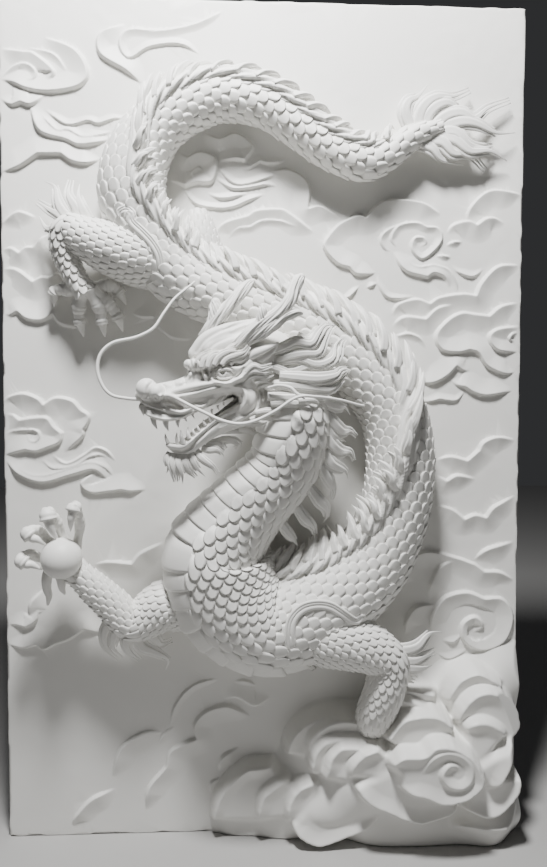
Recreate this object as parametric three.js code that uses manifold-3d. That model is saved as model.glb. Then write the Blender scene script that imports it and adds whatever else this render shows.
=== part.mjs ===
// Plaster relief panel of a dragon among clouds, holding a pearl.
// Millimetres, +Z up. The panel's face looks along -Y and the origin is the middle of its underside.

import * as THREE from "three";
import { mergeVertices } from "three/addons/utils/BufferGeometryUtils.js";
import Module from "manifold-3d";

const wasm = await Module();
wasm.setup();

// Driving dimensions
const PANEL_WIDTH = 1220;
const PANEL_HEIGHT = 1960;
const PANEL_THICKNESS = 60;
const RELIEF_DEPTH = 244;
const PEARL_DIAMETER = 88;
const WHISKER_DIAMETER = 7;
const SOCKET_CLEARANCE = 0.4;
const CARVING_ROOT = 6;
const MERGE_DISTANCE = 0.05;

// The carving is drawn on a grid of squares: 100 across, 160 up, and 20 out from the face.
// Round forms take their girth from the mean of a square's three sizes.
const SQUARES_ACROSS = 100;
const SQUARES_UP = 160;
const SQUARES_OUT = 20;
const ACROSS = PANEL_WIDTH / SQUARES_ACROSS;
const UP = PANEL_HEIGHT / SQUARES_UP;
const OUT = RELIEF_DEPTH / SQUARES_OUT;
const GIRTH = (ACROSS + UP + OUT) / 3;
const FACE = -PANEL_THICKNESS / 2;
const OUTWARD = new THREE.Vector3(0, -1, 0);

// Clouds
const CLOUD_RISE = 1;
const CLOUD_WIDTH = 4;
const STREAM_RISE = 0.6;
const STREAM_WIDTH = 1.4;
const EDGE_SLOPE = 0.4;
const CLOUD_STEP = 5.2;
const TURN_STEP = 1.05;
const TURN_LIMIT = 0.7;
const TURN_PROBE = 0.02;
const EDGE_SIDES = 3;
const EDGE_ROOT = 0.1;
const EDGE_END = 0.03;

// Round forms stop short of the middle of the bend that they go round.
const BEND_PROBE = 0.01;
const BEND_LIMIT = 0.85;

// Scales, belly plates and crest of the dragon
const BODY_RINGS = 72;
const BODY_SIDES = 10;
const SCALE_RISE = 0.3;
const BELLY_RISE = 0.22;
const BELLY_REACH = 2.3;
const CREST_TUFTS = 36;
const CREST_START = 0.05;
const CREST_END = 0.8;
const CREST_LENGTH = 5.2;
const CREST_GIRTH = 1.7;
const CREST_LEAN = 1.6;
const CREST_SINK = 0.4;
const CREST_TAPER = 0.85;
const CREST_ROOT = 0.25;
const CREST_FLATNESS = 0.7;
const CREST_SIDES = 4;
const LIMB_SIDES = 8;
const LIMB_RINGS = 9;
const LOCK_SIDES = 3;
const DIGIT_SIDES = 4;
const SKULL_SIDES = 10;
const JAW_SIDES = 6;
const HORN_SIDES = 5;
const BOSS_SIDES = 7;
const BOSS_RINGS = 5;
const PEARL_SIDES = 12;
const PEARL_RINGS = 8;
const TOOTH_TIP = 0.1;
const FIN_TIP = 0.2;

// A point of the drawing, squares to millimetres.
function at(x, z, out = 0) {
  return new THREE.Vector3(x * ACROSS - PANEL_WIDTH / 2, FACE - out * OUT, z * UP);
}

// A closed form with so many sides and rings: place(u, angle, edge, ring) gives each point its position,
// u going from 0 to 1 along it, and edge being 1 on the surface and 0 in the middle of either end.
function form(sides, rings, place) {
  const drum = new THREE.CylinderGeometry(1, 1, 1, sides, rings);
  drum.deleteAttribute("normal");
  drum.deleteAttribute("uv");
  const geometry = mergeVertices(drum);
  const position = geometry.attributes.position;
  const point = new THREE.Vector3();
  for (let i = 0; i < position.count; i++) {
    point.fromBufferAttribute(position, i);
    const u = 0.5 - point.y;
    const angle = Math.atan2(point.x, point.z);
    const placed = place(u, angle, Math.hypot(point.x, point.z), Math.round(u * rings));
    position.setXYZ(i, placed.x, placed.y, placed.z);
  }
  return geometry;
}

// Six times the volume that a closed surface holds, negative when its faces point in.
function signedVolume(geometry) {
  const { position } = geometry.attributes;
  const corner = [new THREE.Vector3(), new THREE.Vector3(), new THREE.Vector3()];
  let sum = 0;
  for (let i = 0; i < geometry.index.count; i += 3) {
    corner.forEach((vertex, k) => vertex.fromBufferAttribute(position, geometry.index.getX(i + k)));
    sum += corner[0].dot(corner[1].cross(corner[2]));
  }
  return sum;
}

function solid(geometry) {
  const triVerts = Uint32Array.from(geometry.index.array);
  if (signedVolume(geometry) < 0) triVerts.reverse();
  const vertProperties = Float32Array.from(geometry.attributes.position.array);
  return new wasm.Manifold(new wasm.Mesh({ numProp: 3, vertProperties, triVerts }));
}

function join(solids) {
  return solids.reduce((whole, piece) => whole.add(piece));
}

function block(width, depth, height, middle) {
  const box = new THREE.BoxGeometry(width, depth, height).translate(middle.x, middle.y, middle.z);
  box.deleteAttribute("normal");
  box.deleteAttribute("uv");
  return solid(mergeVertices(box));
}

// The directions across a path: out of the panel, and to the right of travel seen from the front.
function frameAt(ahead) {
  const out = OUTWARD.clone().addScaledVector(ahead, -OUTWARD.dot(ahead)).normalize();
  return { out, right: new THREE.Vector3().crossVectors(ahead, out) };
}

// A path through stations [across, up, out, radius, crest angle in degrees].
class Path {
  constructor(stations) {
    this.line = new THREE.CatmullRomCurve3(stations.map(([x, z, out]) => at(x, z, out)));
    this.girth = new THREE.CatmullRomCurve3(
      stations.map(([, , , radius, crest = 0]) => new THREE.Vector3(radius * GIRTH, crest, 0)),
    );
  }

  station(u) {
    const t = this.line.getUtoTmapping(u);
    const { x: radius, y: crest } = this.girth.getPoint(t);
    const ahead = this.line.getTangent(t);
    const before = this.line.getTangentAt(Math.max(u - BEND_PROBE, 0));
    const after = this.line.getTangentAt(Math.min(u + BEND_PROBE, 1));
    const bend = after.sub(before).divideScalar(2 * BEND_PROBE * this.line.getLength());
    const angle = THREE.MathUtils.degToRad(crest);
    return { middle: this.line.getPoint(t), ahead, bend, radius, crest: angle, ...frameAt(ahead) };
  }
}

// A round form along a path, flattened in depth by a share.
// swell(angle, ring, station) adds to the radius, in squares.
function limb(stations, sides, rings, swell = () => 0, depthShare = 1) {
  const path = new Path(stations);
  return solid(
    form(sides, rings, (u, angle, edge, ring) => {
      const station = path.station(u);
      const spoke = new THREE.Vector3()
        .addScaledVector(station.out, depthShare * Math.cos(angle))
        .addScaledVector(station.right, Math.sin(angle));
      const inward = spoke.dot(station.bend);
      const room = inward > 0 ? BEND_LIMIT / inward : Infinity;
      const radius = Math.min(station.radius + swell(angle, ring, station) * GIRTH, room);
      return station.middle.addScaledVector(spoke, edge * radius);
    }),
  );
}

// Overlapping scales stand out at every second point, staggered from ring to ring.
function scales(sides) {
  return (angle, ring) => ((Math.round((angle / (2 * Math.PI)) * sides) + ring) % 2 ? SCALE_RISE : 0);
}

// The edge of a cloud: steep outside, fading to the face on the side that the line curls round.
function terrace(arc, rise, width) {
  const points = [];
  for (let i = 0; i < arc.length; i += 2) {
    points.push(new THREE.Vector2(arc[i] * ACROSS - PANEL_WIDTH / 2, arc[i + 1] * UP));
  }
  const inside = Math.sign(THREE.ShapeUtils.area(points)) || 1;
  const line = new THREE.SplineCurve(points);
  const length = line.getLength() / ACROSS;
  const heading = (u) => line.getTangentAt(THREE.MathUtils.clamp(u, 0, 1));
  const turnBetween = (a, b) => inside * Math.asin(THREE.MathUtils.clamp(heading(a).cross(heading(b)), -1, 1));
  let turning = 0;
  for (let u = 0; u < 1; u += TURN_PROBE) turning += Math.abs(turnBetween(u, u + TURN_PROBE));
  const steps = Math.max(2, Math.round(Math.max(length / CLOUD_STEP, turning / TURN_STEP)));
  return solid(
    form(EDGE_SIDES, steps, (u, angle, edge) => {
      const ends = Math.sqrt(Math.sin(Math.PI * THREE.MathUtils.clamp(u, EDGE_END, 1 - EDGE_END)));
      const bend = turnBetween(u - TURN_PROBE, u + TURN_PROBE) / (length * 2 * TURN_PROBE);
      const reach = Math.min(width * ends, bend > 0 ? TURN_LIMIT / bend : width);
      const corner = Math.round((angle / (2 * Math.PI)) * EDGE_SIDES);
      const sideways = [0, reach, -EDGE_SLOPE].at(corner) * edge;
      const height = corner === 0 && edge > 0.5 ? rise * ends : -EDGE_ROOT;
      const spot = line.getPointAt(u);
      const normal = heading(u).rotateAround(new THREE.Vector2(), (inside * Math.PI) / 2);
      spot.addScaledVector(normal, sideways * ACROSS);
      return new THREE.Vector3(spot.x, FACE - height * OUT, spot.y);
    }),
  );
}

// A lobe of the cloud bank at the foot: an upright drum with a rounded rim and a slightly domed front.
const LOBE_PROFILE = [
  [1.04, -0.05],
  [1, 0.72],
  [0.78, 0.97],
];
const LOBE_SIDES = 10;

function lobe(x, z, halfWidth, halfHeight, reach) {
  return solid(
    form(LOBE_SIDES, LOBE_PROFILE.length - 1, (u, angle, edge, ring) => {
      const [spread, height] = LOBE_PROFILE[ring];
      return at(
        x + edge * spread * halfWidth * Math.sin(angle),
        z + edge * spread * halfHeight * Math.cos(angle),
        height * reach,
      );
    }),
  );
}

// Outlines of the broad clouds, as arcs from cusp to cusp: across and up, point by point.
const CLOUD_ARCS = [
  [8.4, 152.2, 14.2, 149.9, 16.5, 146, 14.8, 143.4, 9.6, 142.3, 5.3, 142.7, 2.7, 143.8, 0.4, 144.5],
  [0.1, 127.4, 3.5, 128.4, 7.1, 130.8],
  [7.1, 130.8, 11.4, 130.9],
  [11.4, 130.9, 13.4, 129.6, 16, 129.2, 18.9, 130.2],
  [23.5, 155, 18.9, 152.9, 18.9, 149.3, 23.5, 146.5, 26.8, 144],
  [33.1, 131.6, 35.1, 130.5],
  [35.1, 130.5, 37.4, 131.5, 40.3, 130.4, 39.8, 126.4, 36.7, 126, 34.7, 125.3],
  [34.7, 125.3, 33, 126.1, 31.4, 126.4],
  [38.1, 135.3, 41.1, 134.1, 44.2, 135.1, 47.4, 132.9, 45.9, 130.3],
  [45.9, 130.3, 43.5, 130.5, 40.8, 130.1],
  [40.1, 116.5, 42.1, 118.5, 46.6, 119.9],
  [46.6, 119.9, 48.3, 120.9, 52.6, 121.2, 54.4, 120.4, 56.8, 118.7, 59.2, 116.9],
  [83.9, 120.7, 79.7, 122.9, 73.8, 123.2, 71.1, 122, 69.2, 119.8],
  [69.2, 119.8, 67.4, 120.1, 64.3, 118.7, 62.4, 116.9],
  [62.4, 116.9, 61.1, 114.3, 63.6, 111.3, 66.1, 110.4],
  [66.1, 110.4, 67.4, 109.2, 70.2, 109.2, 71.7, 109.8],
  [74.6, 113.7, 76.7, 110.1, 81.2, 108.7],
  [81.2, 108.7, 82.6, 109.5, 84.7, 108.7, 85.7, 106.7],
  [74.4, 101.3, 75.7, 103.5, 79.2, 104.4, 81.8, 103.6],
  [81.8, 103.6, 83.7, 104.8, 88.2, 105.5, 90.8, 105.2],
  [90.8, 105.2, 92, 107.8, 95.1, 110.8, 99.5, 111.2],
  [99.4, 103.9, 95.9, 103.2, 93.5, 101.3],
  [93.5, 101.3, 90.7, 101.6, 87.9, 101.8, 85.1, 100.2, 83.1, 97.5, 84.2, 94.9, 87.3, 94.3, 89.7, 94.8],
  [89.7, 94.8, 91.5, 94.2, 93.3, 91.7, 96.8, 90.2, 99.3, 90.6],
  [99.7, 99.3, 95.3, 98.8, 93.6, 97.2, 95.3, 94.8, 99.6, 94.4],
  [79.5, 88.6, 82.5, 88.4, 85.3, 89.8, 87.2, 91.7],
  [87.2, 91.7, 88.4, 90.9, 90.1, 90.7],
  [86.3, 89.1, 87.4, 88, 89, 87.6],
  [89, 87.6, 90.6, 86.6, 93.4, 86, 98.6, 86.9],
  [0.2, 84.3, 1.2, 85.5, 3.9, 86.1, 6.5, 85.2, 7.7, 84],
  [7.7, 84, 9.9, 85.3, 12.9, 84.8, 14.7, 83],
  [14.7, 83, 16.1, 82, 15.9, 80.6, 15, 79.3],
  [15, 79.3, 14.8, 77.9, 11.4, 75],
  [0.5, 82.1, 1.8, 82, 3.1, 81.1],
  [3.1, 81.1, 5.5, 81.5, 8.2, 81.5, 9.5, 79.9, 11, 78.6],
  [11, 78.6, 10.5, 76.9, 7.7, 75.7],
  [7.7, 75.7, 6.1, 75.2, 4.1, 75.5],
  [4.1, 75.5, 2.1, 75, 0, 74.5],
  [0.4, 73.5, 2.7, 70.9, 7.3, 69.3, 12.7, 70.7, 16.8, 71.7, 18.8, 70.4, 19.8, 69.6],
  [17.7, 71.4, 14.6, 69, 16.4, 67.3, 19.8, 67.5, 22.2, 67.8],
  [22.2, 67.8, 24.2, 67.5, 27, 67.8],
  [0.2, 117.8, 3.3, 120, 6.6, 119],
  [0.3, 100.9, 1.7, 101, 2.9, 101.6],
  [2.9, 101.6, 4.7, 100.2, 7.4, 99.9, 9.7, 101.1],
  [9.7, 101.1, 11, 99.4, 14.7, 98.4],
  [16.6, 53.2, 19.7, 53.9, 24.1, 53.5],
  [24.1, 53.5, 25.9, 55.5, 30.3, 57.5],
  [0.2, 38.1, 3, 37.4, 5.8, 38],
  [5.8, 38, 7.1, 37, 9.2, 38, 12, 39, 14.9, 40.9],
  [14.9, 40.9, 16.6, 40.4, 18.7, 39.8],
  [83.4, 73.2, 86.2, 74, 89.5, 73.2],
  [89.5, 73.2, 91.8, 75.2],
  [91.8, 75.2, 92.8, 76.8, 95.6, 77.8, 99.3, 77.1],
  [76.8, 47.5, 76.4, 49.9, 78.3, 53.8, 82.2, 55.3, 87.8, 54, 90.3, 53.1],
  [90.3, 53.1, 91.5, 52.6, 93.2, 51.3],
  [93.2, 51.3, 96.4, 51.1, 99.4, 49.3],
  [82.4, 45.7, 82.6, 48.8, 84.7, 52.5, 88.5, 53.7],
  [83.1, 39.1, 82.9, 42, 85.2, 46, 89.6, 47.2, 93.3, 45.9],
  [
    93.3, 45.9, 97, 45.7, 99.1, 42.2, 97.5, 37.4, 93.1, 35.6, 89.4, 37.5, 89, 40.8, 91.5, 42.3,
    93.2, 40.4, 91.2, 39,
  ],
  [82.8, 31.4, 86.9, 28.9, 90.6, 30.9],
  [90.6, 30.9, 93.5, 31.4],
  [19.9, 11.5, 21.7, 17.2, 26.3, 20.1, 30.2, 20],
  [26.4, 4.6, 27, 9.1, 30.5, 13.4],
  [30.5, 13.4, 31.6, 16.7, 36.5, 18.9],
  [36.5, 18.9, 36.1, 21.7, 38.5, 24.3, 42.8, 25.2, 47, 22.9],
];

// Curls and streams of mist inside the clouds.
const STREAM_ARCS = [
  [34, 125.3, 36.4, 122.2, 40.1, 121.3, 43.5, 121.5, 46.6, 122.8, 50.1, 124.2],
  [75.5, 114.2, 74.1, 116, 75.6, 118.5, 79, 119.1, 81.1, 118.3],
  [
    81.1, 118.3, 83.2, 118.1, 84.1, 116.1, 82.5, 113.7, 80.1, 112.2, 78.2, 114, 78.6, 116.1, 80.4, 116.3,
    81, 115.2, 79.8, 114.5,
  ],
  [0.3, 78.2, 1.8, 79.1, 4.5, 79.3, 6.3, 79.1, 6.9, 78.1, 6.1, 76.9, 4.9, 77.1, 4.6, 78.1, 5.6, 78.8],
];

// Lobes of the cloud bank: across, up, half width, half height and reach.
const BANK_LOBES = [
  [48, 4.1, 8.7, 9.8, 3.3],
  [54.1, 5.2, 5.9, 7, 5.7],
  [62.9, 14.9, 9.2, 10.4, 6.1],
  [66.2, 13.3, 6.4, 8.2, 10.2],
  [67.5, 11.9, 6.4, 7.4, 11.5],
  [78, 25.2, 5.5, 5.5, 7.4],
  [88.8, 27, 6.2, 6.2, 8.6],
  [91.7, 23.5, 6.4, 6.8, 10.7],
  [96.9, 30.4, 4, 7.2, 9],
  [78.7, 18.1, 7.4, 8.5, 11.5],
  [90.9, 20, 4.6, 5.3, 12.3],
  [81.3, 16.7, 7.6, 6.2, 14.8],
  [76.8, 13.1, 10.8, 6.6, 13.5],
  [89.8, 14.6, 7.7, 7.7, 13.5],
  [92.6, 4.1, 8.1, 5.3, 12.3],
  [61.8, 6.7, 9, 6.1, 9.8],
  [79, 2.7, 16.3, 6.1, 9],
];

// The dragon's body from the tail to under the head: across, up, out, radius and crest angle.
const BODY = [
  [83, 136.3, 3.1, 0.9, 80],
  [77.5, 134.2, 3.1, 2, 80],
  [72.4, 130.6, 3.1, 2.7, 80],
  [68.1, 129.4, 3.1, 3.5, 80],
  [62, 131.3, 3.3, 3.6, 80],
  [55.4, 135.5, 3.4, 3.8, 80],
  [49.1, 139.1, 3.6, 4.1, 80],
  [40.2, 140.1, 3.8, 4.7, 78],
  [31.1, 135.8, 4.1, 5.3, 55],
  [26.4, 129.3, 4.5, 6, 15],
  [25.3, 121.8, 4.8, 6.2, -15],
  [28.5, 114.2, 4.5, 6, -55],
  [33.5, 107.9, 4.1, 5.8, -80],
  [42.4, 103.5, 3.8, 5.9, -80],
  [54.4, 99, 3.7, 6, -78],
  [64.7, 93.4, 4.1, 6.2, -72],
  [71.9, 85.9, 4.6, 6.2, -50],
  [74.6, 79.3, 4.9, 6.3, -25],
  [75.2, 70.9, 4.9, 6.2, -8],
  [73.6, 62.3, 4.8, 6.4, 35],
  [69.3, 54.1, 4.6, 7.5, 70],
  [61.6, 47.8, 4.9, 8.8, 80],
  [51, 43.2, 5.2, 9.7, 82],
  [43.5, 47.6, 5.6, 10.4, 85],
  [40.7, 55.7, 6.2, 10, 90],
  [42, 60.1, 6.9, 8.6, 92],
  [46.1, 65.4, 8, 7.1, 95],
  [52.2, 72.3, 9.3, 6.3, 98],
  [54.1, 78.3, 10.5, 6.4, 100],
  [55.6, 84.9, 11.3, 6.2, 100],
];

// Limbs: across, up, out and radius.
const LIMBS = [
  [
    [29.9, 110.3, 4.1, 5.1], [26, 111.1, 5.4, 5.2], [21.5, 112.3, 6.2, 4.6], [17.2, 114, 6.2, 3.5],
    [13.9, 115.3, 5.7, 2.7], [13, 112.7, 5.4, 2.3], [14, 109.2, 5.2, 2], [15.6, 106.1, 5.1, 1.8],
    [17, 104.2, 4.8, 2.1],
  ],
  [
    [38.4, 110.7, 2.5, 3.8], [37.7, 114.7, 2.8, 3.2], [37.3, 118.1, 2.5, 2.3], [37.1, 120, 2, 1.5],
  ],
  [
    [35.6, 47.1, 4.9, 5], [30.8, 46.6, 5.4, 4.5], [27.1, 44.6, 6.1, 3.7], [24.6, 44.2, 6.6, 3.2],
    [21.5, 47.5, 7, 2.9], [18.3, 50.7, 7.5, 2.6], [15.7, 53.3, 7.9, 2.2], [13.5, 54.8, 7.5, 2.7],
  ],
  [
    [56.1, 42.3, 7.4, 4.8], [60.7, 41.8, 8.2, 5.6], [65.3, 40.7, 8.9, 5.1], [69.5, 39, 9.2, 4.2],
    [72.3, 36.4, 9.2, 3.5], [71.8, 31.8, 9, 3.4], [70.6, 27.3, 8.9, 3.3], [69.7, 21.9, 8.7, 2.9],
  ],
];

// Toes and fingers, each running out into its talon.
const DIGITS = [
  [
    [16.5, 104.9, 5.1, 1.15], [15.4, 102.1, 4.2, 0.92], [15.3, 99.6, 3.3, 0.59], [15.8, 96.6, 2.5, 0.2],
  ],
  [
    [17.6, 105, 5.4, 1.15], [19.1, 101.9, 4.5, 0.92], [19.4, 99.6, 3.7, 0.59], [19.8, 96.6, 2.8, 0.2],
  ],
  [
    [17.9, 104.9, 5.1, 1.15], [20.6, 102.7, 4.1, 0.92], [22.3, 100.1, 3.1, 0.59], [23, 97.6, 2.1, 0.2],
  ],
  [
    [16.4, 104.8, 4.6, 1.15], [12.4, 105.2, 3.9, 0.92], [10.8, 104.6, 3.2, 0.59], [10.4, 102.1, 2.5, 0.2],
  ],
  [
    [17.4, 105.2, 4.4, 1.15], [20.9, 105.9, 3.6, 0.92], [22.4, 105, 2.7, 0.59], [23.7, 102.7, 1.8, 0.2],
  ],
  [
    [13.2, 58.5, 7, 0.9], [12.5, 61.5, 8.2, 0.9], [11.8, 63.9, 9.7, 1], [11, 65.3, 10.8, 1.2],
    [11.4, 63.3, 11.3, 1.2], [11.8, 62, 11.1, 0.5], [12.5, 60.1, 10.5, 0.1],
  ],
  [
    [15, 57.9, 7, 0.9], [15.9, 61.4, 8, 0.9], [16.2, 64.4, 9.5, 0.9], [15.7, 65.9, 10.8, 1.1],
    [15.3, 64.3, 11.3, 1], [15.1, 63.2, 11.1, 0.5], [14.9, 61.5, 10.5, 0.1],
  ],
  [
    [11.4, 58.3, 7, 0.9], [9.8, 60.2, 8.2, 0.9], [8.7, 61.8, 9.8, 1], [7.6, 61.5, 11, 1.2],
    [8.5, 60.6, 11.3, 1], [9.4, 60.3, 11.3, 0.5], [10.7, 59.2, 11, 0.1],
  ],
  [
    [10.7, 55.4, 7, 0.9], [8.8, 56.4, 8.2, 0.9], [7.6, 57.5, 9.8, 0.9], [6.3, 56.9, 11, 1.2],
    [7.4, 56, 11.3, 1], [8.3, 55.9, 11.3, 0.5], [10, 54.9, 11, 0.1],
  ],
  [
    [12.7, 53.7, 7.9, 1.6], [11.8, 51.2, 7.4, 1.5], [11, 48.8, 6.6, 0.9], [9.7, 47, 5.4, 0.3],
  ],
];

// The ball of the hind foot, the palm of the hand, and the middle of the pearl that it holds.
const FOOT_BALL = [17.4, 104.6, 5.1, 2.5];
const PALM = [
  [15.5, 53.7, 7.7, 2.2], [13.3, 55.8, 7.4, 2.7], [11.8, 57.6, 7, 2.2], [10.9, 58.2, 6.6, 1.3],
];
const PEARL = [13.1, 56.7, 10];

// The head, open mouthed, looking left.
const SNOUT_TO_SKULL = [
  [27.7, 85.9, 14.6, 1.2],
  [29.4, 85.7, 14.8, 2.1],
  [32, 85.9, 14.8, 2.4],
  [34.9, 86.2, 14.6, 2.9],
  [37.9, 87.3, 14.3, 4],
  [41.2, 89.3, 13.6, 5.9],
  [45.2, 90.9, 12.6, 7.6],
  [48.9, 91.2, 11.6, 7.4],
  [53, 91.2, 10.5, 6.2],
  [56.9, 91.8, 9.2, 4.2],
];
const HEAD_DEPTH_SHARE = 0.7;
const UPPER_LIP = [
  [28.1, 84.5, 15.1, 0.8],
  [30.1, 83.6, 15.7, 1.1],
  [32.8, 83.1, 15.9, 1.2],
  [35.5, 83.3, 15.7, 1.2],
  [37.7, 84.2, 15.4, 1],
  [40.7, 85, 14.9, 0.9],
  [43.6, 85.9, 14.4, 0.7],
];
const LOWER_JAW = [
  [32, 76.8, 14.4, 0.7],
  [33.6, 76.3, 14.4, 1.4],
  [36.1, 76.5, 14.1, 1.6],
  [38.1, 77.9, 13.8, 1.9],
  [40.4, 79.7, 13.4, 2.3],
  [43.2, 81.5, 13, 2.6],
  [46.3, 83.2, 12.1, 3],
  [48.9, 84.5, 11.3, 2.5],
];
const BROW = [
  [35.7, 91, 15.6, 0.9],
  [36.8, 91.6, 16.7, 1.5],
  [39.3, 92.1, 17.4, 1.7],
  [41.8, 92.1, 17.5, 1.5],
  [44.3, 92.1, 16.9, 1.4],
  [46.2, 92.5, 16.1, 0.9],
];
const CHEEK = [
  [41.3, 87, 16.2, 1.2],
  [43.7, 87.5, 16.1, 1.7],
  [46.2, 87, 15.6, 2.2],
  [48, 85, 14.6, 2.4],
  [47.6, 82.5, 13.1, 2.1],
];
const ROUND_BOSSES = [
  [29.2, 86.6, 16.1, 1.9],
  [30.9, 86.2, 16.7, 1.5],
];
const HORNS = [
  [
    [40.2, 93.1, 13.1, 1.2], [38.7, 95.3, 14.4, 1.2], [40.7, 97.8, 14.8, 1.1], [42.7, 100.3, 14.4, 1],
    [45, 103.2, 13.6, 0.9], [47.3, 105.5, 12.6, 0.5],
  ],
  [
    [39.7, 96.8, 14.6, 1], [40.2, 99.2, 14.8, 0.9], [41, 102, 14.4, 0.6],
  ],
  [
    [41.8, 92.5, 16.9, 1], [44.8, 94.5, 17.7, 1.2], [47.7, 96.5, 18, 1.1], [50.6, 98.9, 18, 1],
    [52.9, 101.2, 17.7, 0.8], [54.1, 103.7, 17, 0.8], [55.3, 105.9, 16.4, 0.5],
  ],
  [
    [46.7, 94.8, 17.7, 0.8], [49.4, 96.9, 18.2, 0.8], [52.1, 98.5, 18.2, 0.7], [55.5, 99.3, 17.7, 0.4],
  ],
  [
    [47.9, 96.7, 17.9, 0.8], [48.4, 98.6, 18.5, 0.7], [48.7, 100.4, 18.5, 0.5],
  ],
  [
    [47, 92.2, 16.1, 1.2], [48.2, 92.7, 16.7, 1.5], [49.7, 93.3, 17, 1.2], [51.4, 94.5, 17.4, 0.3],
  ],
];

// Teeth: root across and up, tip across and up, out, and root radius.
const TEETH = [
  [30.4, 83.3, 30.9, 79.8, 15.6, 0.7],
  [32.1, 83.3, 32.8, 79.6, 15.6, 0.7],
  [34.4, 83.4, 34.5, 80.2, 15.6, 0.6],
  [37, 84.2, 37.2, 81.7, 15.2, 0.5],
  [32.4, 76.4, 32.2, 79, 14.9, 0.5],
  [34.9, 76.5, 34.8, 79.7, 15.1, 0.6],
  [36.1, 76.9, 36.1, 80.2, 14.9, 0.5],
];

// Fins on the neck: root across, up and out, then tip across, up and out.
const NECK_FINS = [
  [58.7, 82.8, 9.8, 66.4, 78.5, 6.9],
  [58.9, 78.4, 9.8, 66.3, 73.5, 6.9],
  [58.7, 74.8, 9.8, 65.4, 69.6, 6.9],
  [58, 72.3, 9.8, 62.4, 65.9, 6.9],
  [55.5, 70.5, 9.8, 60.9, 62.4, 6.9],
  [52.9, 67.3, 9.8, 59.1, 60.3, 6.9],
  [50.4, 64.2, 9.8, 56.1, 57.6, 6.9],
];
const FIN_GIRTH = 1.3;

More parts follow.
